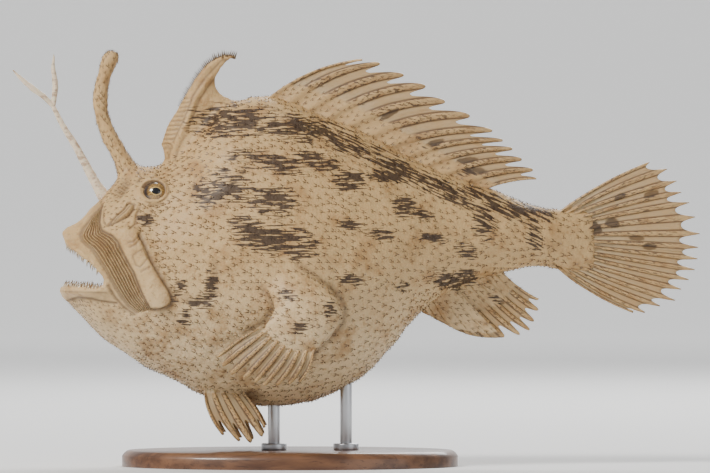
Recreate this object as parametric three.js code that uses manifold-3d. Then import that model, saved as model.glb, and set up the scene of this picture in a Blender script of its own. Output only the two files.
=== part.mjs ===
// A life-size frogfish on a display stand. Millimetres, +Z up. The snout points to -X, the fish's
// left side faces -Y, and the origin is the centre of the stand's underside.
import * as THREE from "three";
import { mergeVertices } from "three/addons/utils/BufferGeometryUtils.js";
import Module from "manifold-3d";

const wasm = await Module();
wasm.setup();

// Driving dimensions. Every outline is a list of [X, Z] points seen from the fish's left side.
const GAP = 0.3;
const GROWN = 0.35; // how far a node's root is cut back from the surface that carries it
const SNOUT_X = -58;
const TAIL_X = 71.7;
const BACK_LINE = [
  [-58, 57.7], [-57, 58.9], [-55.4, 60.3], [-53.8, 60.8], [-52.5, 61.8], [-51, 63.8], [-47.5, 66.7],
  [-44.5, 70.5],
  [-41, 73.8], [-37.5, 75.2], [-32.5, 75.4], [-29.5, 76.8], [-25, 81.2], [-19.3, 88], [-15.5, 91.2],
  [-8, 92.3], [0, 91.6], [8.3, 88.2], [15.5, 85.6], [26, 79.9], [38, 74], [49, 70.1],
  [61.8, 65.3], [67.5, 64.2], [71.7, 65],
];
const BELLY_LINE = [
  [-58, 43.7], [-57.5, 42.1], [-54, 39.3], [-50, 34.5], [-45, 30.3], [-37.5, 25.3], [-27.5, 20.5],
  [-20, 16.7], [-12.5, 15], [-4, 14.5], [7.5, 16.5], [14, 19.2], [20, 23.5], [27.5, 32.2],
  [33.8, 39.3], [42.5, 44.3], [51, 47.4], [61, 49.5], [66, 48.9], [71.7, 46.8],
];
const HALF_WIDTH = [
  [-58, 1.6], [-57.5, 4.7], [-56.7, 7.1], [-55.5, 9.6], [-53.5, 12.4], [-50, 15.3], [-44, 17],
  [-37.5, 18.4], [-25, 21.1], [-12, 22.9], [-2, 23.2], [7.5, 22.2], [15, 20.3], [22.5, 17.7],
  [30, 14.9], [37.5, 12.2], [45, 9.9], [55, 7.3], [65, 5.1], [71.7, 3.6],
];
const WIDEST_AT = [[-58, 0.45], [0, 0.45], [30, 0.5], [71.7, 0.5]]; // share of the depth, from below
const CROWN = [[-58, 1], [-46, 1.05], [-34, 1.25], [-15, 1.25], [40, 1.1], [71.7, 1]]; // narrowness above

const TOOTH_LINE = [
  [-57, 57.4], [-56.3, 56.2], [-54.4, 54.4], [-51.3, 52.2], [-48.8, 50.3], [-46.6, 47.7], [-44.8, 45.2],
];
const LOWER_LIP_Z = 44.6;
const MOUTH_CORNER_X = -44.7;
const MOUTH_WIDTH = 16.2; // half the breadth between the corners of the lips
const UPPER_JAW_EDGE = [
  [-49.5, 69.5], [-47, 65.6], [-49.5, 62.2], [-52, 58.6], [-52.2, 56.4], [-49, 54.2], [-45.7, 49.6],
  [-43, 45], [-40.5, 41.6], [-37.6, 39.4], [-36, 36.8],
];
const LOWER_JAW_EDGE = [
  [-49, 46.2], [-46.2, 45.2], [-44.2, 43], [-42, 40.9], [-39.6, 39.1], [-36.8, 37.8], [-34.3, 36],
  [-33.4, 32], [-35.5, 22], [-37, 15],
];
const HEAD_EDGE = [[-12.5, 98], [-18, 70], [-22.5, 40], [-25.5, 10]];
const TAIL_EDGE = [[54.4, 80], [52.6, 58], [51.6, 40]];

const EYE = { x: -33.4, z: 68.6, radius: 3.3, sunk: 1.9 };
const NOSTRIL = { x: -41.8, z: 62.6, radius: 0.95, rim: 0.4 };
const TEETH = { upper: 22, lower: 22, radius: 0.36, length: 1.5, clear: 0.13 }; // clear of each corner
const FIN_WEB = 0.5; // thickness of the skin between two rays
const BASE = { length: 84, width: 60, height: 4 };
const ROD = { radius: 1.5, foot: 3.2, footHeight: 1.4, places: [-4, 14] };

const materials = {
  skin: new THREE.MeshStandardMaterial({ color: 0xcdb07c, roughness: 0.62, metalness: 0 }),
  fin: new THREE.MeshStandardMaterial({ color: 0xd6bd8c, roughness: 0.55, metalness: 0 }),
  lure: new THREE.MeshStandardMaterial({ color: 0xe6cfa6, roughness: 0.5, metalness: 0 }),
  eye: new THREE.MeshStandardMaterial({ color: 0x8a6a35, roughness: 0.12, metalness: 0 }),
  wood: new THREE.MeshStandardMaterial({ color: 0x4a2f1d, roughness: 0.4, metalness: 0 }),
  steel: new THREE.MeshStandardMaterial({ color: 0xb9bcc0, roughness: 0.3, metalness: 1 }),
};

// A smooth function of X through the points of an outline.
function smooth(points) {
  const slope = (i) => {
    const before = points[Math.max(i - 1, 0)];
    const after = points[Math.min(i + 1, points.length - 1)];
    return (after[1] - before[1]) / (after[0] - before[0]);
  };
  return (x) => {
    let i = 0;
    while (i < points.length - 2 && points[i + 1][0] < x) i++;
    const step = points[i + 1][0] - points[i][0];
    const t = THREE.MathUtils.clamp((x - points[i][0]) / step, 0, 1);
    const start = (1 + 2 * t) * (1 - t) ** 2;
    const end = t * t * (3 - 2 * t);
    const bend = t * (1 - t) ** 2 * slope(i) - t * t * (1 - t) * slope(i + 1);
    return start * points[i][1] + end * points[i + 1][1] + bend * step;
  };
}

const backLine = smooth(BACK_LINE);
const bellyLine = smooth(BELLY_LINE);
const halfWidth = smooth(HALF_WIDTH);
const widestAt = smooth(WIDEST_AT);
const crown = smooth(CROWN);
const toothLine = smooth(TOOTH_LINE);

// The same draws every time, from 0 to 1.
function seeded(seed) {
  let state = seed;
  return () => {
    state = (state * 16807) % 2147483647;
    return state / 2147483647;
  };
}

// A closed geometry as a solid that can be joined and cut, with its faces pointing out.
function solid(geometry) {
  const bare = new THREE.BufferGeometry();
  bare.setAttribute("position", geometry.getAttribute("position"));
  bare.setIndex(geometry.index);
  const merged = mergeVertices(bare, 1e-3);
  const vertex = merged.getAttribute("position");
  const corners = [0, 1, 2].map(() => new THREE.Vector3());
  const triangles = [];
  let volume = 0;
  for (let i = 0; i < merged.index.count; i += 3) {
    const [a, b, c] = [0, 1, 2].map((k) => merged.index.getX(i + k));
    if (a === b || b === c || c === a) continue;
    corners.forEach((corner, k) => corner.fromBufferAttribute(vertex, [a, b, c][k]));
    volume += corners[0].dot(corners[1].clone().cross(corners[2]));
    triangles.push([a, b, c]);
  }
  const outward = volume > 0 ? triangles : triangles.map(([a, b, c]) => [a, c, b]);
  const mesh = new wasm.Mesh({
    numProp: 3,
    vertProperties: new Float32Array(vertex.array),
    triVerts: new Uint32Array(outward.flat()),
  });
  return new wasm.Manifold(mesh);
}

const join = (solids) => solids.reduce((whole, piece) => whole.add(piece));
const largest = (whole) => whole.decompose().sort((a, b) => b.volume() - a.volume())[0];

function surfaceOf(shape) {
  const mesh = shape.getMesh();
  const geometry = new THREE.BufferGeometry();
  geometry.setAttribute("position", new THREE.BufferAttribute(new Float32Array(mesh.vertProperties), 3));
  geometry.setIndex(new THREE.BufferAttribute(new Uint32Array(mesh.triVerts), 1));
  return geometry;
}

// A named mesh of a shape's largest closed surface, once vertices closer than a micron are merged.
function node(name, shape, material) {
  const geometry = surfaceOf(largest(solid(surfaceOf(largest(shape)))));
  geometry.computeVertexNormals();
  const made = new THREE.Mesh(geometry, material);
  made.name = name;
  return made;
}

// A closed tube of rings: place(t, angle, radius) gives each point, with t from 0 to 1 along it.
function loft(rings, sides, place) {
  const geometry = new THREE.CylinderGeometry(1, 1, 1, sides, rings);
  const position = geometry.getAttribute("position");
  for (let i = 0; i < position.count; i++) {
    const [x, y, z] = [position.getX(i), position.getY(i), position.getZ(i)];
    const point = place(y + 0.5, Math.atan2(z, x), Math.hypot(x, z));
    position.setXYZ(i, point.x, point.y, point.z);
  }
  return solid(geometry);
}

// A thin closed sheet: place(column, row, face) gives each point, with the same grid on both faces.
function sheet(columns, rows, place) {
  const plane = new THREE.PlaneGeometry(1, 1, columns, rows);
  const count = plane.getAttribute("position").count;
  const points = [];
  for (const face of [1, -1]) {
    for (let i = 0; i < count; i++) {
      const column = i % (columns + 1);
      const row = rows - Math.floor(i / (columns + 1));
      points.push(...place(column, row, face).toArray());
    }
  }
  const front = Array.from(plane.index.array);
  const back = front.map((vertex, k) => front[k - (k % 3) + [0, 2, 1][k % 3]] + count);
  const at = (column, row) => column + (columns + 1) * (rows - row);
  const edge = [];
  for (let c = 0; c < columns; c++) edge.push(at(c, 0));
  for (let r = 0; r < rows; r++) edge.push(at(columns, r));
  for (let c = columns; c > 0; c--) edge.push(at(c, rows));
  for (let r = rows; r > 0; r--) edge.push(at(0, r));
  const rim = edge.flatMap((a, k) => {
    const b = edge[(k + 1) % edge.length];
    return [b, a, a + count, b, a + count, b + count];
  });
  const geometry = new THREE.BufferGeometry();
  geometry.setAttribute("position", new THREE.Float32BufferAttribute(points, 3));
  geometry.setIndex([...front, ...back, ...rim]);
  return solid(geometry);
}

// A round bar along a path, with its radius given from 0 to 1 along it.
function bar(points, radiusAt, rings, sides) {
  const path = new THREE.CatmullRomCurve3(points.map((p) => new THREE.Vector3(...p)));
  const frames = path.computeFrenetFrames(rings);
  return loft(rings, sides, (t, angle, radius) => {
    const ring = Math.round(t * rings);
    const reach = radiusAt(t) * radius;
    return path
      .getPointAt(t)
      .addScaledVector(frames.normals[ring], reach * Math.cos(angle))
      .addScaledVector(frames.binormals[ring], reach * Math.sin(angle));
  });
}

// A side-view outline made into a block that runs right across the fish.
function across(outline) {
  const shape = new THREE.Shape(outline.map(([x, z]) => new THREE.Vector2(x, z)));
  const geometry = new THREE.ExtrudeGeometry(shape, { depth: 80, bevelEnabled: false });
  return solid(geometry.rotateX(Math.PI / 2).translate(0, 40, 0));
}

// A cut of one gap's width along a side-view line.
function parting(line) {
  const offset = (side) =>
    line.map(([x, z], i) => {
      const [ax, az] = line[Math.max(i - 1, 0)];
      const [bx, bz] = line[Math.min(i + 1, line.length - 1)];
      const length = Math.hypot(bx - ax, bz - az);
      const shift = (side * GAP) / 2 / length;
      return [x - (bz - az) * shift, z + (bx - ax) * shift];
    });
  return across([...offset(1), ...offset(-1).reverse()]);
}

// The body: an egg-shaped section at each X, grown all round where another node is cut back from it.
function bodyPoint(x, angle, radius, grow) {
  const top = backLine(x) + grow;
  const bottom = bellyLine(x) - grow;
  const middle = bottom + (top - bottom) * widestAt(x);
  const up = Math.sin(angle);
  const out = Math.cos(angle);
  const narrow = up > 0 ? crown(x) : 1;
  const y = (halfWidth(x) + grow) * Math.sign(out) * Math.abs(out) ** narrow;
  const z = middle + up * (up > 0 ? top - middle : middle - bottom);
  return new THREE.Vector3(x, y * radius, middle + (z - middle) * radius);
}

function body(grow) {
  const rings = 40;
  const sides = 24;
  const length = TAIL_X - SNOUT_X + 2 * grow;
  return loft(rings, sides, (t, angle, radius) => {
    const along = t ** 1.35; // closer rings at the head
    return bodyPoint(SNOUT_X - grow + length * along, angle, radius, grow);
  });
}

function widthAt(x, z) {
  const top = backLine(x);
  const bottom = bellyLine(x);
  const middle = bottom + (top - bottom) * widestAt(x);
  const rise = z > middle ? (z - middle) / (top - middle) : (middle - z) / (middle - bottom);
  const out = Math.sqrt(Math.max(1 - rise * rise, 0));
  return halfWidth(x) * out ** (z > middle ? crown(x) : 1);
}

// A point on the flank and the direction that the skin faces there; side is -1 for the fish's left.
function flank(x, z, side) {
  const d = 0.2;
  const slopeX = (widthAt(x + d, z) - widthAt(x - d, z)) / (2 * d);
  const slopeZ = (widthAt(x, z + d) - widthAt(x, z - d)) / (2 * d);
  return {
    point: new THREE.Vector3(x, side * widthAt(x, z), z),
    normal: new THREE.Vector3(-slopeX, side, -slopeZ).normalize(),
  };
}

// A fin: rays raised on a thin web, with their tips free of it. at(ray) gives a ray's root, tip and
// bend, and the direction across the fin; bare is the number of first rays that flesh hides.
const COLUMN_SHARES = [0, 0.3, 0.7];
function fin({ rays, rows, at, root, tip, ridge, notch, bare = 0 }) {
  const columns = (rays - 1) * COLUMN_SHARES.length;
  return sheet(columns, rows, (column, row, face) => {
    const ray = Math.floor(column / COLUMN_SHARES.length) + COLUMN_SHARES[column % COLUMN_SHARES.length];
    const off = Math.abs(ray - Math.round(ray));
    const fleshy = ray < bare;
    const line = at(ray);
    const reach = 1 - (fleshy ? 0 : notch * Math.min(off / 0.5, 1) ** 0.7);
    const v = (row / rows) * reach;
    const raised = fleshy ? 0 : ridge * Math.max(1 - off / 0.3, 0) * (1 - 0.5 * v);
    const flesh = THREE.MathUtils.lerp(root, tip, Math.min(v / 0.55, 1) ** 0.6);
    const thick = flesh + raised;
    return line.root
      .clone()
      .lerp(line.tip, v)
      .addScaledVector(line.bend, 4 * v * (1 - v))
      .addScaledVector(line.across, (face * thick) / 2);
  });
}

// A root line, and a tip for each ray, with a smooth line through the tips.
function fan(roots, tips, bends, acrossFin) {
  const rootCurve = new THREE.CatmullRomCurve3(roots.map((p) => new THREE.Vector3(...p)));
  const tipCurve = new THREE.CatmullRomCurve3(tips.map((p) => new THREE.Vector3(...p)));
  return (ray) => {
    const share = THREE.MathUtils.clamp(ray / (tips.length - 1), 0, 1);
    return {
      root: rootCurve.getPointAt(share),
      tip: tipCurve.getPoint(share),
      bend: new THREE.Vector3(...bends[0]).lerp(new THREE.Vector3(...bends[1]), share),
      across: acrossFin,
    };
  };
}

const grownBody = body(GROWN);
const cutBack = (shape) => shape.subtract(grownBody);
const SIDEWAYS = new THREE.Vector3(0, 1, 0);

function dorsalFin() {
  const at = fan(
    [[-9.5, 0, 88.4], [8, 0, 84.5], [26, 0, 76.5], [46.5, 0, 68]],
    [
      [18, 0, 101.6], [22.3, 0, 100.8], [28.2, 0, 98], [33.7, 0, 95.2], [38.5, 0, 91.4], [44.7, 0, 87.9],
      [50.5, 0, 84], [53.2, 0, 81.5], [55.6, 0, 79.4], [57.9, 0, 76.8], [60.7, 0, 74.1], [61.6, 0, 71.8],
    ],
    [[-1, 0, 2.6], [-0.3, 0, 0.9]],
    SIDEWAYS,
  );
  return cutBack(fin({ rays: 12, rows: 5, at, root: 5.2, tip: FIN_WEB, ridge: 0.9, notch: 0.16 }));
}

function analFin() {
  const at = fan(
    [[31.5, 0, 43], [38, 0, 46], [44, 0, 48.6], [50.5, 0, 51]],
    [
      [33.6, 0, 38.4], [39.9, 0, 34.9], [44.8, 0, 32.8], [49.4, 0, 32.1], [53.5, 0, 32.2], [57.4, 0, 32.8],
      [59.9, 0, 34], [61, 0, 36.2], [62.1, 0, 39], [62.2, 0, 41.7],
    ],
    [[0, 0, -0.8], [0.3, 0, -1.2]],
    SIDEWAYS,
  );
  return cutBack(fin({ rays: 10, rows: 4, at, root: 5, tip: FIN_WEB, ridge: 0.9, notch: 0.2, bare: 4 }));
}

function caudalFin() {
  const tips = [
    [89.9, 0, 76], [94.3, 0, 74.3], [96.7, 0, 71.3], [97.9, 0, 68.5], [99.8, 0, 65.9], [101.4, 0, 62.3],
    [102.5, 0, 58.1], [102.1, 0, 54.7], [101.9, 0, 51.8], [101.2, 0, 49.1], [99.7, 0, 46.6], [97.8, 0, 44.2],
    [96.3, 0, 41.4], [92.5, 0, 40], [88.7, 0, 38.4], [85.8, 0, 38.5],
  ];
  const at = fan([[69, 0, 64], [69, 0, 47.6]], tips, [[-0.6, 0, 1], [-0.6, 0, -1]], SIDEWAYS);
  // The seven middle rays fork: each pair of tips leans together towards one root.
  const forked = (ray) => {
    const pair = THREE.MathUtils.clamp(2 * Math.floor((ray + 1) / 2) - 0.5, 0, 15);
    const line = at(ray);
    line.root = at(THREE.MathUtils.lerp(ray, pair, 0.55)).root;
    return line;
  };
  return cutBack(fin({ rays: 16, rows: 4, at: forked, root: 4.4, tip: FIN_WEB, ridge: 0.8, notch: 0.1 }));
}

// The pectoral limb is an arm with an elbow; its sections run between a front and a back edge.
const ARM_FRONT = [[-7, 47.5], [-5.6, 43], [-4.2, 40], [-5.8, 36.6], [-8.2, 33.6]];
const ARM_BACK = [[5.5, 49.5], [10.4, 45], [13.7, 39.4], [11, 32.8], [3.4, 26.2]];
const ARM_OUT = [17.5, 22.3, 25.2, 26.2, 25.6];
const ARM_THICK = [11.5, 9.4, 7.6, 5.4, 3.4];

function armEdges(t) {
  const read = (values) => {
    const spot = THREE.MathUtils.clamp(t, 0, 1) * (values.length - 1);
    return smooth(values.map((value, i) => [i, value]))(spot);
  };
  const edge = (line) => [read(line.map((p) => p[0])), read(line.map((p) => p[1]))];
  return { front: edge(ARM_FRONT), back: edge(ARM_BACK), out: read(ARM_OUT), thick: read(ARM_THICK) };
}

function arm(side, grow) {
  return loft(9, 14, (t, angle, radius) => {
    const { front, back, out, thick } = armEdges(t);
    const middle = new THREE.Vector3((front[0] + back[0]) / 2, side * out, (front[1] + back[1]) / 2);
    const chord = new THREE.Vector3(back[0] - front[0], 0, back[1] - front[1]);
    const half = (chord.length() / 2 + grow) * radius;
    const along = new THREE.Vector3(-chord.z, 0, chord.x).normalize();
    return middle
      .addScaledVector(chord.normalize(), half * Math.cos(angle))
      .addScaledVector(SIDEWAYS, (thick / 2 + grow) * radius * Math.sin(angle))
      .addScaledVector(along, -grow * (t > 0.99 ? 1 : 0));
  });
}

function pectoralFin(side) {
  const end = armEdges(0.88);
  const roots = [0.02, 0.35, 0.68, 0.9].map((share) => [
    THREE.MathUtils.lerp(end.front[0], end.back[0], share),
    side * 25.7,
    THREE.MathUtils.lerp(end.front[1], end.back[1], share) - 1.5 * Math.sin(Math.PI * share),
  ]);
  const tips = [
    [-17.7, 25, 27.8], [-16.4, 25.4, 25.6], [-14.3, 25.8, 23.5], [-11, 26.2, 22.5], [-8.4, 26.4, 21.6],
    [-6.2, 26.4, 20.8], [-3, 26.2, 20.9], [0, 25.9, 21.3], [2.6, 25.6, 21.8],
  ].map(([x, y, z]) => [x, side * y, z]);
  const at = fan(roots, tips, [[0.3, side, 0.8], [0.6, side, -0.3]], SIDEWAYS);
  const made = fin({ rays: 9, rows: 4, at, root: 2.6, tip: FIN_WEB, ridge: 1.1, notch: 0.2 });
  return made.subtract(arm(side, GROWN));
}

function pelvicFin(side) {
  const roots = [[-21.3, 6.4, 20], [-18, 6.6, 20], [-13.4, 6.8, 20]].map(([x, y, z]) => [x, side * y, z]);
  const tips = [[-16.7, 9.4, 8.2], [-12.6, 10.2, 6.7], [-9.6, 10.6, 6.3], [-6.7, 10.6, 7.9], [-6.2, 10.2, 10]];
  const at = fan(
    roots,
    tips.map(([x, y, z]) => [x, side * y, z]),
    [[-1.4, 0, 0], [0.4, 0, 0.8]],
    new THREE.Vector3(0.15, 1, 0.3 * side).normalize(),
  );
  return cutBack(fin({ rays: 5, rows: 4, at, root: 3.6, tip: 0.7, ridge: 1.2, notch: 0.24 }));
}

// The three free dorsal spines: the fishing rod with its forked lure, a club and a broad hooked spine.
const LURE_FORK = [-59.4, 0, 90.3];

function illicium() {
  const points = [
    [-45.2, 0, 65.5], [-47.6, 0, 68.8], [-50.9, 0, 75], [-53.5, 0, 79.8], [-57, 0, 85.6], [-59, 0, 89.6],
  ];
  return cutBack(bar(points, (t) => 1.3 - 0.75 * t, 14, 8));
}

function esca() {
  const left = bar(
    [LURE_FORK, [-61.5, -0.3, 92.3], [-63.8, -0.6, 94], [-66.8, -0.9, 96.5], [-69.3, -1, 99]],
    (t) => 0.7 + 0.2 * Math.sin(Math.PI * t) - 0.45 * t,
    8,
    6,
  );
  const right = bar(
    [LURE_FORK, [-58.9, 0.3, 92.8], [-58.7, 0.5, 95.6], [-59.2, 0.7, 99], [-59.1, 0.8, 103.2]],
    (t) => 0.8 + 0.15 * Math.sin(Math.PI * t) - 0.5 * t,
    8,
    6,
  );
  const clear = bar([[-57, 0, 85.6], [-59, 0, 89.6], [-59.2, 0, 89.9]], (t) => 1.1 + 0 * t, 3, 8);
  return left.add(right).subtract(clear);
}

function secondSpine() {
  const points = [
    [-39.5, 0, 70.5], [-41.6, 0, 76.4], [-43.8, 0, 79.9], [-45.9, 0, 84.4], [-47.1, 0, 88.3],
    [-47.4, 0, 91.8], [-47, 0, 95.5], [-45.8, 0, 99.3], [-44.2, 0, 103.6],
  ];
  const radiusAt = (t) => 1.45 + 1.5 * (1 - t) ** 5 - 0.25 * t ** 12;
  return cutBack(bar(points, radiusAt, 16, 10));
}

function thirdSpine() {
  const front = new THREE.SplineCurve(
    [[-30, 74], [-32.5, 79.5], [-30.8, 85], [-27.8, 89.9], [-24.2, 96.2], [-20.4, 101], [-16.5, 102.9], [-13.8, 102.6]]
      .map((p) => new THREE.Vector2(...p)),
  );
  const back = new THREE.SplineCurve(
    [[-13.5, 88], [-14.8, 91.6], [-17.6, 93.4], [-18.5, 95.6], [-18.2, 98.3], [-17, 99.9], [-15.4, 101], [-13.7, 101.9]]
      .map((p) => new THREE.Vector2(...p)),
  );
  const columns = 8;
  const rows = 12;
  return cutBack(
    sheet(columns, rows, (column, row, face) => {
      const u = column / columns;
      const v = row / rows;
      const spot = front.getPoint(v).lerp(back.getPoint(v), u);
      const shaft = 2.2 * Math.exp(-(((u - 0.3) / 0.2) ** 2)) * (1 - 0.6 * v);
      const web = THREE.MathUtils.lerp(4.6, 0.8, Math.min(v * 1.3, 1));
      const round = Math.sqrt(Math.max(1 - (2 * u - 1) ** 4, 0.04));
      return new THREE.Vector3(spot.x, (face * (web * round + shaft * round)) / 2, spot.y);
    }),
  );
}

// The jaws' edges, from the right corner of the mouth round the front to the left corner.
function lipLine(heightAt, inset) {
  const points = [];
  for (let i = -6; i <= 6; i++) {
    const turn = (i / 6) * (Math.PI / 2);
    const x = MOUTH_CORNER_X - (MOUTH_CORNER_X - SNOUT_X - 0.9 - inset) * Math.cos(turn) ** 0.9;
    points.push(new THREE.Vector3(x, -(MOUTH_WIDTH - inset) * Math.sin(turn), heightAt(x)));
  }
  return new THREE.CatmullRomCurve3(points);
}

function lip(line, radius) {
  return bar(line.getPoints(12).map((p) => p.toArray()), () => radius, 20, 6);
}

function teeth(line, count, direction, draw) {
  return Array.from({ length: count }, (_, i) => {
    const spot = line.getPointAt(TEETH.clear + ((1 - 2 * TEETH.clear) * (i + 0.5)) / count);
    const length = TEETH.length * (0.75 + 0.5 * draw());
    const lean = new THREE.Vector3(0.2 * (draw() - 0.5), 0.25 * (draw() - 0.5), 0).add(direction).normalize();
    const cone = new THREE.ConeGeometry(TEETH.radius, length + 0.8, 4);
    cone.translate(0, (length + 0.8) / 2 - 0.2, 0);
    cone.applyQuaternion(new THREE.Quaternion().setFromUnitVectors(new THREE.Vector3(0, 1, 0), lean));
    return solid(cone.translate(spot.x, spot.y, spot.z));
  });
}

function placed(geometry, x, z, side, lift = 0) {
  const { point, normal } = flank(x, z, side);
  const turn = new THREE.Quaternion().setFromUnitVectors(new THREE.Vector3(0, 0, 1), normal);
  geometry.applyQuaternion(turn);
  const spot = point.addScaledVector(normal, lift);
  return solid(geometry.translate(spot.x, spot.y, spot.z));
}

const eyeball = (side, grow) =>
  placed(new THREE.SphereGeometry(EYE.radius + grow, 14, 10), EYE.x, EYE.z, side, -EYE.sunk);

function eyelid(side) {
  const ring = new THREE.TorusGeometry(EYE.radius - 0.1, 0.85, 6, 16).scale(1.05, 0.82, 1);
  return placed(ring, EYE.x, EYE.z, side, 0.1);
}

function nostril(side) {
  return placed(new THREE.TorusGeometry(NOSTRIL.radius, NOSTRIL.rim, 6, 12), NOSTRIL.x, NOSTRIL.z, side, 0.2);
}

function nostrilHole(side) {
  const hole = new THREE.CylinderGeometry(NOSTRIL.radius - 0.25, NOSTRIL.radius - 0.25, 2.4, 10);
  return placed(hole.rotateX(Math.PI / 2), NOSTRIL.x, NOSTRIL.z, side);
}

// The pleats of loose skin between the upper jaw and the cheek bone, on one side.
const PLEAT_FRONT = [[-46.5, 63.5], [-48.3, 59], [-47.2, 55.2], [-43.4, 49.2], [-40, 43.6], [-36.6, 40.4]];
const PLEAT_BACK = [[-45.6, 62.6], [-45.2, 59], [-42.6, 56], [-39.5, 51], [-37, 46.2], [-35.3, 41.8]];

function pleat(side, share) {
  const line = PLEAT_FRONT.map(([x, z], i) => {
    const spot = [
      THREE.MathUtils.lerp(x, PLEAT_BACK[i][0], share),
      THREE.MathUtils.lerp(z, PLEAT_BACK[i][1], share),
    ];
    return flank(spot[0], spot[1], side).point.toArray();
  });
  return bar(line, (t) => 0.6 * Math.sin(Math.PI * (0.08 + 0.84 * t)) + 0.08, 8, 4);
}

// The cheek bone: a long paddle that lies on the cheek behind the pleats.
const PADDLE_FRONT = [[-44.6, 58.8], [-41.6, 54.6], [-38.6, 49], [-36.8, 44], [-34.6, 40], [-32.6, 38.4]];
const PADDLE_BACK = [[-39, 60], [-36, 56.5], [-33.6, 51], [-30.6, 46.6], [-28.6, 43], [-30.2, 39.6]];

function cheekBone(side) {
  const front = new THREE.SplineCurve(PADDLE_FRONT.map((p) => new THREE.Vector2(...p)));
  const back = new THREE.SplineCurve(PADDLE_BACK.map((p) => new THREE.Vector2(...p)));
  const columns = 6;
  const rows = 12;
  return cutBack(
    sheet(columns, rows, (column, row, face) => {
      const u = column / columns;
      const v = row / rows;
      const spot = front.getPoint(v).lerp(back.getPoint(v), u);
      const { point, normal } = flank(spot.x, spot.y, side);
      const proud = 0.9 + 1.1 * Math.sin(Math.PI * u) * (0.5 + 0.5 * v);
      return point.addScaledVector(normal, face > 0 ? proud : -0.8);
    }),
  );
}

// The head with its open mouth, parted into the skull's flesh and the two jaws.
const upperLip = lipLine((x) => toothLine(x) + 0.9, 0);
const lowerLip = lipLine(() => LOWER_LIP_Z - 0.7, 0);

function gape() {
  const roof = TOOTH_LINE.map(([x, z]) => [x, z + 0.2]);
  return across([[-66, 63], ...roof, [-44.6, LOWER_LIP_Z], [-66, LOWER_LIP_Z]]);
}

function mouthHollow() {
  const hollow = new THREE.SphereGeometry(1, 18, 12).scale(13.2, 12.6, 5.6).rotateY(0.42);
  return solid(hollow.translate(-44.2, 0, 47.2));
}

const sides = { left: -1, right: 1 };
const both = (make) => Object.values(sides).flatMap(make);

const lips = [lip(upperLip, 1.15), lip(lowerLip, 1.15)];
const details = both((side) => [eyelid(side), nostril(side), ...[0.08, 0.34, 0.6].map((s) => pleat(side, s))]);
const whole = join([body(0), ...details]);
const hollowed = whole.subtract(gape()).add(join(lips)).subtract(mouthHollow());
const holes = both((side) => [eyeball(side, GAP), nostrilHole(side)]);
const carved = hollowed.subtract(join(holes));

// The piece of a parted solid that holds the most of what lies around a point.
function pieceAt(parted, x, z) {
  const reach = (piece) => {
    const { min, max } = piece.boundingBox();
    const inside = x > min[0] && x < max[0] && z > min[2] && z < max[2];
    return inside ? (max[0] - min[0]) * (max[2] - min[2]) : Infinity;
  };
  return parted.decompose().filter((piece) => piece.volume() > 20).sort((a, b) => reach(a) - reach(b))[0];
}

const cuts = join([HEAD_EDGE, TAIL_EDGE, UPPER_JAW_EDGE, LOWER_JAW_EDGE].map(parting));
const parted = carved.subtract(cuts);
const draw = seeded(11);
const upperTeeth = teeth(lipLine((x) => toothLine(x) + 0.3, 0.3), TEETH.upper, new THREE.Vector3(-0.5, 0, -1), draw);
const lowerTeeth = teeth(lipLine(() => LOWER_LIP_Z + 0.1, 0.3), TEETH.lower, new THREE.Vector3(-0.1, 0, 1), draw);

function standBase() {
  const plate = new THREE.CylinderGeometry(1, 1, BASE.height, 56).rotateX(Math.PI / 2);
  return solid(plate.scale(BASE.length / 2, BASE.width / 2, 1).translate(0, 0, BASE.height / 2));
}

function standRod(x) {
  const bottom = BASE.height + GAP;
  const profile = [
    [0, bottom], [ROD.foot, bottom], [ROD.foot, bottom + ROD.footHeight], [ROD.radius, bottom + ROD.footHeight],
    [ROD.radius, 34], [0, 34],
  ].map((p) => new THREE.Vector2(...p));
  return cutBack(solid(new THREE.LatheGeometry(profile, 16).rotateX(Math.PI / 2).translate(x, 0, 0)));
}

const group = new THREE.Group();
group.add(
  node("head", pieceAt(parted, -28, 50), materials.skin),
  node("trunk", pieceAt(parted, 10, 50), materials.skin),
  node("tail", pieceAt(parted, 62, 57), materials.skin),
  node("upper_jaw", join([pieceAt(parted, -54, 57.8), ...upperTeeth]), materials.skin),
  node("lower_jaw", join([pieceAt(parted, -54, 42), ...lowerTeeth]), materials.skin),
  node("dorsal_fin", dorsalFin(), materials.fin),
  node("anal_fin", analFin(), materials.fin),
  node("caudal_fin", caudalFin(), materials.fin),
  node("illicium", illicium(), materials.lure),
  node("esca", esca(), materials.lure),
  node("second_dorsal_spine", secondSpine(), materials.skin),
  node("third_dorsal_spine", thirdSpine(), materials.skin),
  node("stand_base", standBase(), materials.wood),
);
for (const [name, side] of Object.entries(sides)) {
  group.add(
    node(`eye_${name}`, eyeball(side, 0), materials.eye),
    node(`cheek_bone_${name}`, cheekBone(side), materials.skin),
    node(`arm_${name}`, cutBack(arm(side, 0)), materials.skin),
    node(`pectoral_fin_${name}`, pectoralFin(side), materials.fin),
    node(`pelvic_fin_${name}`, pelvicFin(side), materials.fin),
  );
}
ROD.places.forEach((x, i) => {
  group.add(node(`stand_rod_${["front", "back"][i]}`, standRod(x), materials.steel));
});

export default group;
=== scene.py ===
import math
import random

import bpy
import numpy as np
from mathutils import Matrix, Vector, noise


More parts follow.
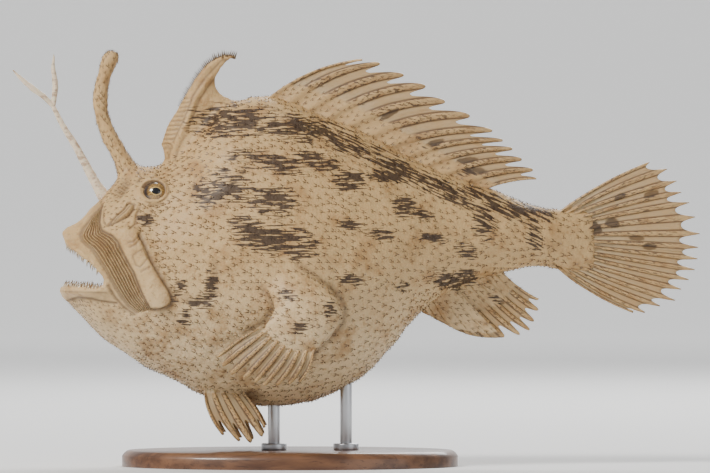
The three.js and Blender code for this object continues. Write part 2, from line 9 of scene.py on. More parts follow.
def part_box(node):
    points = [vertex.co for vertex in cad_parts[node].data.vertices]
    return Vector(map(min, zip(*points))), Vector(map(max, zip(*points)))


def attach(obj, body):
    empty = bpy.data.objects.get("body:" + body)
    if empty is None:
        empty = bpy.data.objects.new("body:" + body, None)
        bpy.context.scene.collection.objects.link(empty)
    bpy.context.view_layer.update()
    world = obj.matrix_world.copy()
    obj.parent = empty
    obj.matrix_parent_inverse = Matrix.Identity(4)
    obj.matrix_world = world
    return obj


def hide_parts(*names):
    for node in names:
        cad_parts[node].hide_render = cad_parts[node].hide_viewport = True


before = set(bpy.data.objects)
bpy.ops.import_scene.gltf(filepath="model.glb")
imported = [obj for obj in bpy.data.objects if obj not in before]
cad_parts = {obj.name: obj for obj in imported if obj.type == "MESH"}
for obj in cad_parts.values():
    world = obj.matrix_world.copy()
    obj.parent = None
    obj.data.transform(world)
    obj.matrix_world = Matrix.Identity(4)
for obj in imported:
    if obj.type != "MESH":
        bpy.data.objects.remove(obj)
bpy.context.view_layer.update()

# The flesh: one skin over the head, jaws, trunk, tail, arms and the two fleshy dorsal spines.
# The model's skin is a single cast in soft rubber, so no seam shows between the parts of the body.
# Its folds and lips are worked into the cast. All sizes here are in millimetres, seen from the side.
MM = 0.001
FLESH = {
    "head": 0.22,
    "upper_jaw": 0.22,
    "lower_jaw": 0.22,
    "cheek_bone_left": 0.22,
    "cheek_bone_right": 0.22,
    "trunk": 0.22,
    "tail": 0.22,
    "arm_left": 0.3,
    "arm_right": 0.3,
    "second_dorsal_spine": 0.95,
    "third_dorsal_spine": 0.6,
}
COAT_DEPTH = 0.3
SKIN_VOXEL = 0.84


def only(*objects):
    bpy.ops.object.select_all(action="DESELECT")
    for item in objects:
        item.select_set(True)
    bpy.context.view_layer.objects.active = objects[0]


def apply(piece, kind, **settings):
    only(piece)
    modifier = piece.modifiers.new(kind.lower(), kind)
    for key, value in settings.items():
        setattr(modifier, key, value)
    bpy.ops.object.modifier_apply(modifier=modifier.name)


def copy_of(node):
    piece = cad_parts[node].copy()
    piece.data = piece.data.copy()
    piece.parent = None
    piece.data.materials.clear()
    for key in [key for key in piece.keys() if key.startswith("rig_")]:
        del piece[key]
    bpy.context.collection.objects.link(piece)
    only(piece)
    bpy.ops.object.mode_set(mode="EDIT")
    bpy.ops.mesh.select_all(action="SELECT")
    bpy.ops.mesh.remove_doubles(threshold=1e-6)
    bpy.ops.object.mode_set(mode="OBJECT")
    return piece


def clouds(name, size, depth):
    texture = bpy.data.textures.new(name, "CLOUDS")
    texture.noise_scale = size
    texture.noise_depth = depth
    return texture


def vectors(items, name):
    values = np.empty(len(items) * 3)
    items.foreach_get(name, values)
    return values.reshape(-1, 3)


def corners_of(piece):
    return vectors(piece.data.vertices, "co")


def set_corners(piece, corners):
    piece.data.vertices.foreach_set("co", np.ascontiguousarray(corners, np.float32).ravel())
    piece.data.update()


def set_value(piece, name, values):
    layer = piece.data.attributes.new(name, "FLOAT", "POINT")
    layer.data.foreach_set("value", np.ascontiguousarray(values, np.float32))


def step(values, low, high):
    """0 at low and 1 at high, with a soft turn at both."""
    share = np.clip((values - low) / (high - low), 0, 1)
    return share * share * (3 - 2 * share)


def hump(away, breadth):
    """1 where away is 0, and close to 0 at twice the breadth."""
    return np.exp(-((away / breadth) ** 2))


def far_from(line, points):
    """How far each point is from a line of corners."""
    line = np.array(line, float)
    ends = np.diff(line, axis=0)
    away = points[:, None, :] - line[:-1]
    share = np.clip((away * ends).sum(2) / (ends**2).sum(1), 0, 1)
    return np.linalg.norm(away - share[..., None] * ends, axis=2).min(1)


def within(outline, points):
    """Whether each point lies inside a closed outline."""
    inside = np.zeros(len(points), bool)
    for (ax, az), (bx, bz) in zip(outline, outline[1:] + outline[:1]):
        crosses = (az > points[:, 1]) != (bz > points[:, 1])
        reach = ax + (bx - ax) * (points[:, 1] - az) / (bz - az + 1e-9)
        inside ^= crosses & (points[:, 0] < reach)
    return inside


parts = []
for node, swell in FLESH.items():
    part = copy_of(node)
    apply(part, "DISPLACE", strength=swell * MM, mid_level=0)
    parts.append(part)
only(*parts)
bpy.ops.object.join()
skin = bpy.context.object
skin.name = "skin"
apply(skin, "REMESH", mode="VOXEL", voxel_size=SKIN_VOXEL * MM)
apply(skin, "SMOOTH", factor=0.6, iterations=5)
apply(skin, "DISPLACE", strength=-(FLESH["head"] + COAT_DEPTH) * MM, mid_level=0)

# The wrist of the tail thins to a wedge that runs out over the foot of the tail fin.
WRIST_X = 63
WRIST_LENGTH = 8.7
WEDGE_REACH = 5.2
WEDGE_THINNING = 0.78
spots = corners_of(skin) / MM
along = np.clip((spots[:, 0] - WRIST_X) / WRIST_LENGTH, 0, 1)
spots[:, 0] += WEDGE_REACH * along**2
spots[:, 1] *= 1 - WEDGE_THINNING * along**2

# The snout is blunt, the nape rises into the dorsal fin, and the second spine swells into a club.
BLUNT_X = -55.6
BLUNT_FROM_Z = 53
BLUNT_TO_Z = 62
NAPE_X = -6
NAPE_BREADTH = 6
NAPE_RISE = 0.7
CLUB_X = -45.8
CLUB_Z = 99.3
CLUB_LEAN = 0.372
CLUB_SWELL = 0.38
CLUB_BACK_X = -37
snout = (spots[:, 0] < BLUNT_X) & (spots[:, 2] > BLUNT_FROM_Z) & (spots[:, 2] < BLUNT_TO_Z)
spots[snout, 0] = BLUNT_X + (spots[snout, 0] - BLUNT_X) * 0.5
spots[:, 2] += NAPE_RISE * (hump(spots[:, 0] - NAPE_X, NAPE_BREADTH) * step(spots[:, 2], 85, 90))
axis = CLUB_X + (spots[:, 2] - CLUB_Z) * CLUB_LEAN
swell = CLUB_SWELL * step(spots[:, 2], 97.5, 102.5) * (spots[:, 0] < CLUB_BACK_X)
spots[:, 0] += (spots[:, 0] - axis) * swell
spots[:, 1] *= 1 + swell
set_corners(skin, spots * MM)

# The face and the hooked spine are finer than the rest, to hold their small folds. Faces of the head
# that look forward, up or down are left as they are.
FINE_FACE = [
    (-70, 40), (-41, 40), (-41, 37), (-28, 37), (-28, 59), (-36.5, 59), (-36.5, 73.5), (-38, 73.5),
    (-38, 72), (-70, 72),
]
FINE_EYE = (-33.8, 68.7)
FINE_EYE_RADIUS = 5
FINE_HOOK = [(-33, 78.5), (-11, 95), (-11, 110), (-33, 110)]
LEAST_FACING = 0.12
faces = skin.data.polygons
middles = vectors(faces, "center") / MM
view = middles[:, [0, 2]]
on_face = within(FINE_FACE, view) | (np.linalg.norm(view - FINE_EYE, axis=1) < FINE_EYE_RADIUS)
on_face &= vectors(faces, "normal")[:, 1] * np.sign(middles[:, 1]) > LEAST_FACING
on_hook = within(FINE_HOOK, view)
only(skin)
bpy.ops.object.mode_set(mode="EDIT")
bpy.ops.mesh.select_mode(type="FACE")
bpy.ops.mesh.select_all(action="DESELECT")
bpy.ops.object.mode_set(mode="OBJECT")
faces.foreach_set("select", on_face | on_hook)
bpy.ops.object.mode_set(mode="EDIT")
bpy.ops.mesh.subdivide(number_cuts=2)
bpy.ops.object.mode_set(mode="OBJECT")
apply(skin, "SMOOTH", factor=0.5, iterations=3)
apply(skin, "DISPLACE", texture=clouds("folds", 0.009, 1), strength=0.9 * MM, mid_level=0.5)
apply(skin, "DISPLACE", texture=clouds("warts", 0.0026, 2), strength=0.4 * MM, mid_level=0.5)

PLEATS_FRONT = [
    (-46.9, 65.2), (-48.4, 63.5), (-50, 61.5), (-51.7, 59.3), (-52.3, 57.9), (-51.7, 56.4), (-50.4, 55.2),
    (-49.1, 54.3), (-47.3, 51.8), (-45.3, 48.8), (-43.7, 45.6), (-41.7, 42.3), (-39.9, 39.9), (-37.8, 38.4),
]
PLEATS_BACK = [
    (-46.9, 65.2), (-47.1, 64), (-47.3, 61.1), (-46.6, 59), (-43.9, 57.5), (-42.6, 56.1), (-41.2, 53.2),
    (-39.9, 50.8), (-38.6, 48.6), (-37.5, 45.7), (-36.3, 42.8), (-35.2, 40.7), (-34.4, 39.2),
]
NOSTRIL = [
    (-44.9, 60.1), (-44.1, 61.2), (-43, 62.4), (-41, 64.2), (-39.9, 65.7), (-38.6, 65.3), (-38.6, 64.2),
    (-39.9, 62.4), (-42.1, 61.3), (-44.9, 60.1),
]
SHAFT = [(-29.4, 77), (-28.6, 79.8), (-25.5, 86.4), (-23.3, 92.2), (-20.4, 96.5), (-16.6, 100.6)]
WEB_OF_HOOK = [
    (-33, 76.5), (-33, 80), (-30.5, 87), (-27, 93), (-24.8, 91.5), (-26.8, 86.5), (-29, 81), (-29.6, 76.5),
]
# Each crease has its depth, its breadth and how dark its painted shade is.
CREASES = [
    (PLEATS_FRONT, 0.25, 0.32, 0.75),
    (PLEATS_BACK, 0.3, 0.38, 1.0),
    (NOSTRIL, 0.35, 0.25, 0.9),
    ([(-43.3, 61.3), (-42, 62.3), (-40.6, 63.5), (-39.6, 64.7)], 0.3, 0.22, 0.8),
    ([(-44.8, 45.2), (-43, 42.1), (-40.8, 39.6), (-38.4, 38)], 0.35, 0.35, 0.8),
    ([(-57.2, 43.7), (-50, 43.5), (-45.2, 43.4)], 0.15, 0.22, 0.45),
    ([(-56, 41.2), (-52.6, 42.2), (-49, 41.9), (-46.6, 41.3), (-42.8, 40.8)], 0.3, 0.35, 0.8),
    (
        [
            (-37, 58), (-35.6, 55.2), (-34.3, 52.1), (-32.6, 49), (-31, 46.5), (-29.4, 44), (-28.7, 41.9),
            (-29, 40.6), (-30, 39.7), (-31.6, 39.2), (-34, 39),
        ],
        0.6, 0.5, 0.9,
    ),
    ([(-39.9, 55.9), (-38.6, 56.1), (-37, 57.6)], 0.2, 0.24, 0.6),
    ([(-39.5, 54.7), (-37.9, 55.5), (-36.7, 57.2)], 0.2, 0.24, 0.6),
    (
        [(-38.8, 52.7), (-36, 54.4), (-34.9, 52), (-36.8, 49.8), (-37.9, 50.3), (-38.8, 52.7)],
        0.18, 0.24, 0.5,
    ),
    ([(-36.6, 48.7), (-34.4, 50)], 0.18, 0.24, 0.6),
    ([(-37.2, 64.4), (-38, 62.6), (-38.1, 60.6), (-39.5, 59.4)], 0.3, 0.28, 0.7),
    ([(-46.3, 64), (-46.2, 62), (-46, 60.8), (-45.2, 60.1)], 0.2, 0.24, 0.6),
    ([(-34.8, 65.2), (-33, 65), (-31.2, 65.7)], 0.2, 0.24, 0.5),
    ([(-37.7, 73.4), (-37, 72), (-37.9, 71)], 0.25, 0.26, 0.6),
    ([(-18.3, 50.5), (-17.6, 46.5), (-18.6, 43), (-21.5, 40.8), (-25, 41.5)], 0.5, 0.9, 0.35),
    ([(-6.9, 44.8), (-5, 42.6), (-3.9, 40), (-6.3, 36.4), (-11.2, 33.4)], 0.3, 0.5, 0.65),
    (
        [
            (2, 50.5), (6.3, 48), (10.3, 45), (12.8, 42.2), (14, 39.4), (13.2, 35.5), (9.3, 31.4),
            (6.6, 28.6), (4.4, 25.4),
        ],
        0.3, 0.6, 0.62,
    ),
    ([(-15, 19.6), (-13, 17.4), (-9, 14.6)], 0.2, 0.4, 0.6),
    ([(-13.6, 20.3), (-10, 18.6), (-6.4, 17.2)], 0.15, 0.28, 0.5),
    ([(-13.4, 19.3), (-9.6, 17.4), (-6.2, 15.9)], 0.15, 0.28, 0.5),
]
LAST_CREASE_X = 17
EYE = np.array([-33.4, 9.6, 67.7])
EYE_RADIUS = 3.3
# The opening between the lids: middle X and Z, then half sizes.
EYE_OPENING = (-33.8, 68.75, 2.85, 2.25)
PLEAT_COUNT = 8.5
PLEAT_HEIGHT = 0.16
PLEATS_SUNK = 0.4
LEAF_HEIGHT = 0.6
# The hollow before the eye and the pocket by the pelvic fin: middle X and Z, then half sizes.
HOLLOW = (-41.7, 69.6, 2.2, 4.4)
HOLLOW_TILT = math.radians(-34)
HOLLOW_DEPTH = 0.9
# The painted shade in the hollow before the eye is hatched, in stripes this far apart.
HATCHING_APART = 0.8
POCKET = (-9.6, 17.2, 4.0, 2.8)
POCKET_DEPTH = 0.7
KNOB_X = -43.1
KNOB_Z = 54.1
KNOB_HEIGHT = 0.6
SHAFT_HEIGHT = 0.45
SHAFT_BREADTH = 0.7
SHAFT_GROOVE = 0.95
RIBS_APART = 1.15
RIB_DEPTH = 0.22

spots = corners_of(skin) / MM
outward = vectors(skin.data.vertex_normals, "vector")
side = np.where(spots[:, 1] > 0, 1.0, -1.0)
outer = step(outward[:, 1] * side, 0.0, 0.35)
view = spots[:, [0, 2]]
raised = np.zeros(len(spots))
crease = np.zeros(len(spots))
near = (view[:, 0] < LAST_CREASE_X) & (outer > 0)
# Each crease is sunk into the skin and darkened with painted shade along its line.
for line, depth, breadth, dark in CREASES:
    mark = np.zeros(len(spots))
    mark[near] = hump(far_from(line, view[near]), breadth)
    raised -= depth * mark
    crease = np.maximum(crease, dark * mark)
front = far_from(PLEATS_FRONT, view)
back = far_from(PLEATS_BACK, view)
pleated = within(PLEATS_FRONT + PLEATS_BACK[::-1], view) * step(np.minimum(front, back), 0, 0.6)
fold = PLEAT_COUNT * front / (front + back + 1e-6)
raised += pleated * (PLEAT_HEIGHT * np.cos(fold * math.tau) - PLEATS_SUNK)
raised += LEAF_HEIGHT * (within(NOSTRIL, view) * step(far_from(NOSTRIL, view), 0.1, 0.8))
cx, cz, wide, tall = HOLLOW
dx = view[:, 0] - cx
dz = view[:, 1] - cz
across = (dx * math.cos(HOLLOW_TILT) + dz * math.sin(HOLLOW_TILT)) / wide
up = (dz * math.cos(HOLLOW_TILT) - dx * math.sin(HOLLOW_TILT)) / tall
hollow = 1 - step(np.hypot(across, up), 0.1, 1.1)
raised -= HOLLOW_DEPTH * hollow
# The hollow is darkened with hatched painted shade, on the faces turned to the side.
hatched = 0.5 + 0.5 * np.cos((dx * 0.5 + dz) * math.tau / HATCHING_APART)
hollow *= (0.45 + 0.45 * hatched) * step(outward[:, 1] * side, -0.3, 0)
cx, cz, wide, tall = POCKET
pocket = 1 - step(np.hypot((view[:, 0] - cx) / wide, (view[:, 1] - cz) / tall), 0.2, 1.1)
raised -= POCKET_DEPTH * pocket
raised += KNOB_HEIGHT * np.exp(-(((view[:, 0] - KNOB_X) ** 2 + (view[:, 1] - KNOB_Z) ** 2) / 0.7))
# Painted shade in the pocket behind the pelvic fin.
crease = np.maximum(crease, 0.55 * pocket)
shaft = far_from(SHAFT, view)
on_spine = (view[:, 0] > -34) & (view[:, 0] < -12) & (view[:, 1] > 76)
raised += on_spine * SHAFT_HEIGHT * hump(shaft, SHAFT_BREADTH)
# Painted shade along a line beside the raised shaft of the hooked spine.
crease = np.maximum(crease, on_spine * 0.65 * hump(shaft - SHAFT_GROOVE, 0.26))
ribbed = within(WEB_OF_HOOK, view) * (0.5 + 0.5 * np.cos(view[:, 1] * math.tau / RIBS_APART)) ** 2
raised -= RIB_DEPTH * ribbed
# Painted shade in the grooves between the ribs of the web.
crease = np.maximum(crease, 0.6 * ribbed)
spots += outward * (raised * outer)[:, None]

# The lids part round each eye; the hide inside the opening lies behind the eyeball.
# The ridge of the lids and the fold below it, where 1 is the edge of the opening.
EYE_REACH = 6
BEHIND_EYE = 0.9
LID_RING = 1.2
LID_HEIGHT = 0.25
LOWER_FOLD_RING = 1.36
ball = np.stack([np.full(len(spots), EYE[0]), EYE[1] * side, np.full(len(spots), EYE[2])], axis=1)
cx, cz, wide, tall = EYE_OPENING
ring = np.hypot((view[:, 0] - cx) / wide, (view[:, 1] - cz) / tall)
away = spots - ball
far = np.linalg.norm(away, axis=1)
near = (far < EYE_REACH) & (side * spots[:, 1] > EYE_REACH)
sunk = ball + away / far[:, None] * (EYE_RADIUS - BEHIND_EYE)
spots += (sunk - spots) * ((1 - step(ring, 0.92, 1.16)) * near)[:, None]
spots += outward * (LID_HEIGHT * (hump(ring - LID_RING, 0.12) * near))[:, None]
below = step((view[:, 0] - cx) - (view[:, 1] - cz), 0, 1.5) * (far < EYE_REACH) * outer
# Painted shade in the fold below the eye.
crease = np.maximum(crease, 0.7 * below * hump(ring - LOWER_FOLD_RING, 0.07))
set_corners(skin, spots * MM)
# The painted shade of the creases, the folds, the pocket and the hollow, held at the corners.
set_value(skin, "crease", np.maximum(crease * outer, hollow))
set_value(skin, "pleated", pleated * outer)
set_value(skin, "fold", fold)
only(skin)
bpy.ops.object.shade_smooth()
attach(skin, "root")
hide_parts(*FLESH)


class Value:
    """A shader socket that adds its own Math nodes when it is used in an expression."""

    def __init__(self, finish, socket):
        self.finish = finish
        self.socket = socket

    def maths(self, operation, *operands):
        return self.finish.node("ShaderNodeMath", {"operation": operation}, dict(enumerate(operands)))

    def __add__(self, other):
        return self.maths("ADD", self, other)

    def __mul__(self, other):
        return self.maths("MULTIPLY", self, other)

    def __sub__(self, other):
        return self.maths("SUBTRACT", self, other)

    def __rsub__(self, other):
        return self.maths("SUBTRACT", other, self)

    __radd__ = __add__
    __rmul__ = __mul__


class Finish:
    """A material, built node by node."""

    def __init__(self, name):
        self.material = bpy.data.materials.new(name)
        self.material.use_nodes = True
        self.material.node_tree.nodes.clear()

    def node(self, kind, settings=None, sockets=None, out=0):
        made = self.material.node_tree.nodes.new(kind)
        for key, value in (settings or {}).items():
            if key == "stops":
                while len(made.color_ramp.elements) < len(value):
                    made.color_ramp.elements.new(0.5)
                for element, (place, colour) in zip(made.color_ramp.elements, value):
                    element.position = place
                    element.color = (*colour, 1)
            else:
                setattr(made, key, value)
        for key, value in (sockets or {}).items():
            if isinstance(value, Value):
                self.material.node_tree.links.new(value.socket, made.inputs[key])
            elif isinstance(value, tuple) and made.inputs[key].type == "RGBA":
                made.inputs[key].default_value = (*value, 1)
            else:
                made.inputs[key].default_value = value
        return Value(self, made.outputs[out])

    def place(self):
        return self.node("ShaderNodeTexCoord", out="Object")

    def own_map(self, name=""):
        return self.node("ShaderNodeUVMap", {"uv_map": name} if name else None)

    def noise(self, place, scale, detail=2.0, roughness=0.5):
        sockets = {"Vector": place, "Scale": scale, "Detail": detail, "Roughness": roughness}
        return self.node("ShaderNodeTexNoise", None, sockets)

    def ramp(self, value, low, high):
        """0 at low and 1 at high, with a soft turn at both."""
        settings = {"interpolation_type": "SMOOTHSTEP", "clamp": True}
        sockets = {"Value": value, "From Min": low, "From Max": high}
        return self.node("ShaderNodeMapRange", settings, sockets)

    def mix(self, share, first, second):
        sockets = {0: share, 6: first, 7: second}
        return self.node("ShaderNodeMix", {"data_type": "RGBA"}, sockets, out=2)

    def moved(self, place, location=(0, 0, 0), rotation=(0, 0, 0), scale=(1, 1, 1)):
        """The place seen from a spot's own middle, turned and scaled to its size."""
        settings = {"vector_type": "TEXTURE"}
        sockets = {"Vector": place, "Location": location, "Rotation": rotation, "Scale": scale}
        return self.node("ShaderNodeMapping", settings, sockets)

    def length(self, place):
        return self.node("ShaderNodeVectorMath", {"operation": "LENGTH"}, {0: place}, out="Value")

    def across(self, place, axis):
        sockets = {0: place, 1: axis}
        return self.node("ShaderNodeVectorMath", {"operation": "DOT_PRODUCT"}, sockets, out="Value")

    def done(self, fixed, height=None, lift=0.0001, **varying):
        sockets = {key.replace("_", " "): value for key, value in {**fixed, **varying}.items()}
        if height is not None:
            bump = {"Height": height, "Distance": lift}
            sockets["Normal"] = self.node("ShaderNodeBump", None, bump)
        shader = self.node("ShaderNodeBsdfPrincipled", None, sockets)
        self.node_out(shader)
        return self.material

    def node_out(self, shader):
        output = self.material.node_tree.nodes.new("ShaderNodeOutputMaterial")
        self.material.node_tree.links.new(shader.socket, output.inputs["Surface"])


# Markings of the flanks and patches of painted shade, as middle X and Z, half length, half height and tilt:
# millimetres, degrees.
# The first seven are painted shade along the foot of the dorsal fin; those at X -19.3 and -21.5 are painted
# shade along the gill fold, and the one at X -27.2 is painted shadow behind the cheek bone.
PATCHES = [
    (-14, 86, 12, 4.6, 0), (2, 84.4, 12, 3.8, 8), (14, 80.6, 10, 3.4, 25), (26, 75, 10, 3.1, 28),
    (37, 70, 10, 2.9, 24), (48, 66.2, 9, 3, 18), (57.5, 63.6, 8, 3.2, 10), (-4, 75.6, 11.5, 2.6, 10),
    (-19.5, 68.3, 4.4, 4, 15), (-4, 66.3, 8, 4, 8), (-3, 56.3, 11, 4.3, 10), (15, 71, 4.2, 3.8, 0),
    (24, 72.4, 7, 1.7, 8), (28.4, 64.8, 3, 2.8, 20), (15.3, 60.3, 4, 1.7, 8), (22.5, 57.8, 3.8, 1.6, 10),
    (35.3, 57, 4, 1.6, 8), (44, 53.8, 2.8, 2, 30), (40.8, 46.4, 6.6, 2.6, 4), (44.9, 47.4, 2.4, 2.1, 0),
    (61, 56.3, 2.4, 3.4, 0), (48.5, 60.5, 3.2, 4.6, -10), (15, 46.8, 3.6, 1.4, 10),
    (28.3, 44.8, 2.5, 1.3, 10), (-19.3, 45, 1.9, 4.8, 0), (-21.5, 41.2, 3.3, 1.9, 0),
    (-27.2, 44.4, 1.6, 3.4, 25), (-26, 37, 1.9, 2.4, 0), (-35.4, 61.8, 2.2, 2.2, 0),
    (2.5, 34.8, 2.6, 1.6, -30), (10.3, 39, 1.6, 2.8, 0), (-0.5, 43, 2.6, 1.6, 10),
    (-14.5, 70, 5, 4.5, 12), (-10, 60.5, 5, 2.4, 8), (7, 76, 6, 2.4, 14), (33, 63, 3, 1.4, 10),
]
PALE = (0.56, 0.36, 0.155)
BELLY = (0.7, 0.53, 0.31)
OCHRE = (0.34, 0.175, 0.055)
UMBER = (0.035, 0.016, 0.007)
BLOTCH_REACH = 1.4
# Streaks lie along the flanks, and slope down with the back behind the nape.
STREAK_SIZE = (2.6, 1.2, 0.28)
STREAK_SLOPE = 0.44
# The hollow of the mouth, as its middle, its tilt and its half sizes.
MOUTH_HOLLOW = ((-44.2 * MM, 0, 47.2 * MM), (0, 0.42, 0), (13.6 * MM, 13 * MM, 6 * MM))


def marks_and_shade(points, patches):
    """How far into a blotch or a patch of painted shade each place is, from 0 outside to 1 at its heart."""
    x = points[:, 0] / MM
    z = points[:, 2] / MM
    heart = np.zeros(len(points))
    for mx, mz, length, height, lean in patches:
        turn = math.radians(lean)
        along = (x - mx) * math.cos(turn) - (z - mz) * math.sin(turn)
        up = (x - mx) * math.sin(turn) + (z - mz) * math.cos(turn)
        heart = np.maximum(heart, BLOTCH_REACH - np.hypot(along / length, up / height))
    return np.clip(heart, 0, 1)


def held(finish, name):
    """A value that the mesh holds at its corners."""
    return finish.node("ShaderNodeAttribute", {"attribute_name": name}, out="Fac")


def hide_colour(finish, place):
    """The ground colour of the hide with its streaked blotches and patches of painted shade, the same on
    the skin and its prickles.
    """
    ragged = finish.noise(place, 330, 3, 0.6) - 0.5
    mark = held(finish, "mark")
    level, sloping = [
        finish.noise(finish.moved(place, rotation=(0, slope, 0), scale=STREAK_SIZE), 620, 2, 0.5)
        for slope in (0, STREAK_SLOPE)
    ]
    along_back = finish.ramp(finish.across(place, (0.45, 0, 1)), 0.0805, 0.083)
    along_back = along_back * finish.ramp(finish.across(place, (1, 0, 0)), 0.0, 0.014)
    streaks = level + (sloping - level) * along_back
    # Dark blotches of the hide, and the patches of painted shade.
    dark = finish.ramp(mark * 0.5 + (streaks - 0.5) * 2.2, 0.27, 0.42)
    dark = dark * finish.ramp(mark + ragged * 0.6, 0.1, 0.42)
    height = finish.across(place, (0, 0, 1))
    ground = finish.mix(finish.ramp(height, 0.018, 0.058), BELLY, PALE)
    mottle = finish.noise(place, 150, 4, 0.62)
    ground = finish.mix(finish.ramp(mottle, 0.46, 0.7) * 0.7, ground, OCHRE)
    freckles = finish.ramp(finish.noise(place, 800, 2, 0.6), 0.58, 0.7)
    ground = finish.mix(freckles * 0.5, ground, OCHRE)
    return finish.mix(dark * 0.93, ground, UMBER)


def skin_finish():
    finish = Finish("skin")
    place = finish.place()
    colour = hide_colour(finish, place)
    reach = finish.length(finish.moved(place, *MOUTH_HOLLOW))
    inside = 1 - finish.ramp(reach, 1.0, 1.1)
    # Inside the mouth, painted shade deepens the reddish lining to near black towards the middle of the
    # hollow.
    gullet_and_shade = finish.mix(1 - finish.ramp(reach, 0.35, 1.0), (0.4, 0.13, 0.09), (0.05, 0.013, 0.01))
    colour = finish.mix(inside, colour, gullet_and_shade)
    pleated = held(finish, "pleated")
    turns = held(finish, "fold") * math.tau
    pleats = turns.maths("COSINE", turns) * 0.5 + 0.5
    # Painted shade in the grooves between the pleats.
    colour = finish.mix(pleated * (1 - pleats) * 0.8, colour, (0.17, 0.085, 0.035))
    # Painted shade in the creases, folds and hollows.
    crease = held(finish, "crease")
    colour = finish.mix(crease * 0.85, colour, (0.07, 0.034, 0.016))
    pores = finish.node("ShaderNodeTexVoronoi", None, {"Vector": place, "Scale": 1500})
    wrinkles = finish.noise(place, 700, 5, 0.6)
    height = pores * 0.3 + wrinkles * 0.7 + pleats * pleated * 1.6
    rough = 0.5 + finish.noise(place, 400, 3) * 0.25
    fixed = {
        "Subsurface Weight": 0.1,
        "Subsurface Radius": (0.004, 0.002, 0.001),
        "Coat Weight": 0.05,
        "Coat Roughness": 0.3,
    }
    return finish.done(fixed, height, 0.28 * MM, Base_Color=colour, Roughness=rough)


set_value(skin, "mark", marks_and_shade(corners_of(skin), PATCHES))
skin.data.materials.append(skin_finish())


# The prickles: close-set spinules of bony skin, rooted in the hide, whose forks open to the head.
# They cover all but the lips, the pleats, the cheek bones, the eyes and the web of the hooked spine.
# The club-like second spine bristles all over, and a fringe of fine points edges the hooked one.
PRICKLE_APART = 1.6
PRICKLE_LENGTH = 1.3
PRICKLE_IN_MAP = 0.0014  # how much of the map one unit of a prickle takes
CLUB_PRICKLE_APART = 1.0
CLUB_PRICKLE_LENGTH = 1.05
HOOK_BRISTLES = 44
CLUB_BRISTLES = 46
# The bare rim of skin round the eye, as half sizes.
EYE_BARE = (4.3, 3.3)
BARE_PLACES = [
    [
        (-62, 68), (-50.6, 65), (-47.8, 67), (-46.4, 65), (-46.4, 60.4), (-45.2, 59), (-43, 59),
        (-40, 59.4), (-36.4, 58.6), (-34, 53), (-30.4, 46.8), (-28.2, 43), (-28.2, 40.2), (-31, 38.2),
        (-35, 38), (-38, 37.2), (-42.4, 40.4), (-47, 41), (-53, 41.8), (-62, 40.6),
    ],
    [
        (-36, 76), (-29.5, 76), (-27, 80), (-24, 86.5), (-20, 89.4), (-16, 89.8), (-12.8, 92.4), (-12, 106),
        (-34, 106),
    ],
    NOSTRIL,
]
CLUB_LINE = [
    (-39.5, 70.5), (-41.6, 76.4), (-43.8, 79.9), (-45.9, 84.4), (-47.1, 88.3), (-47.4, 91.8), (-47, 95.5),
    (-45.8, 99.3), (-44.2, 103.6),
]
HOOK_FRONT = [(-27.8, 89.9), (-24.2, 96.2), (-20.4, 101), (-16.5, 102.9), (-13.8, 102.6)]


def wavering(draw, width):
    return Vector((draw.uniform(-width, width), draw.uniform(-width, width), draw.uniform(-width, width)))


def spread(spots, apart):
    """Keeps the spots that are at least a given way apart, in the order they come. Each looks for its
    neighbours in the cells around its own, so the way apart is less than a cell's width."""
    width = 2
    cells = {}
    kept = []
    for spot in spots:
        point = spot[0]
        reach = apart(point)
        cell = tuple(int(math.floor(value / width)) for value in point)
        around = [
            other
            for dx in (-1, 0, 1)
            for dy in (-1, 0, 1)
            for dz in (-1, 0, 1)
            for other in cells.get((cell[0] + dx, cell[1] + dy, cell[2] + dz), [])
        ]
        if all((other - point).length > reach for other in around):
            cells.setdefault(cell, []).append(point)
            kept.append(spot)
    return kept


def spike(foot, tip, radius, sides=3):
    """A thin pyramid from a foot to a tip, as corner points and faces."""
    foot = np.array(foot, float)
    ring = [
        foot + radius * np.array([math.cos(math.tau * k / sides), math.sin(math.tau * k / sides), 0])
        for k in range(sides)
    ]
    shell = [(k, (k + 1) % sides, sides) for k in range(sides)] + [tuple(reversed(range(sides)))]
    return np.array([*ring, tip]), shell


def grouped(pieces):
    """Several shapes as one."""
    points = np.vstack([points for points, _ in pieces])
    starts = np.cumsum([0] + [len(points) for points, _ in pieces[:-1]])
    shells = [
        tuple(int(v + start) for v in face)
        for (_, faces), start in zip(pieces, starts)
        for face in faces
    ]
    return points, shells


# A prickle is one unit long. It stands along Z and opens towards X: two points and a short heel.
FORKED = grouped([
    spike((-0.2, 0, -0.2), (-0.5, 0, 0.3), 0.24, 4),
    spike((-0.3, 0.03, -0.12), (0.62, 0.36, 0.34), 0.19),
    spike((-0.3, -0.03, -0.12), (0.66, -0.34, 0.3), 0.19),
])
BRISTLE = spike((0, 0, -0.3), (0.25, 0, 1), 0.19, 4)


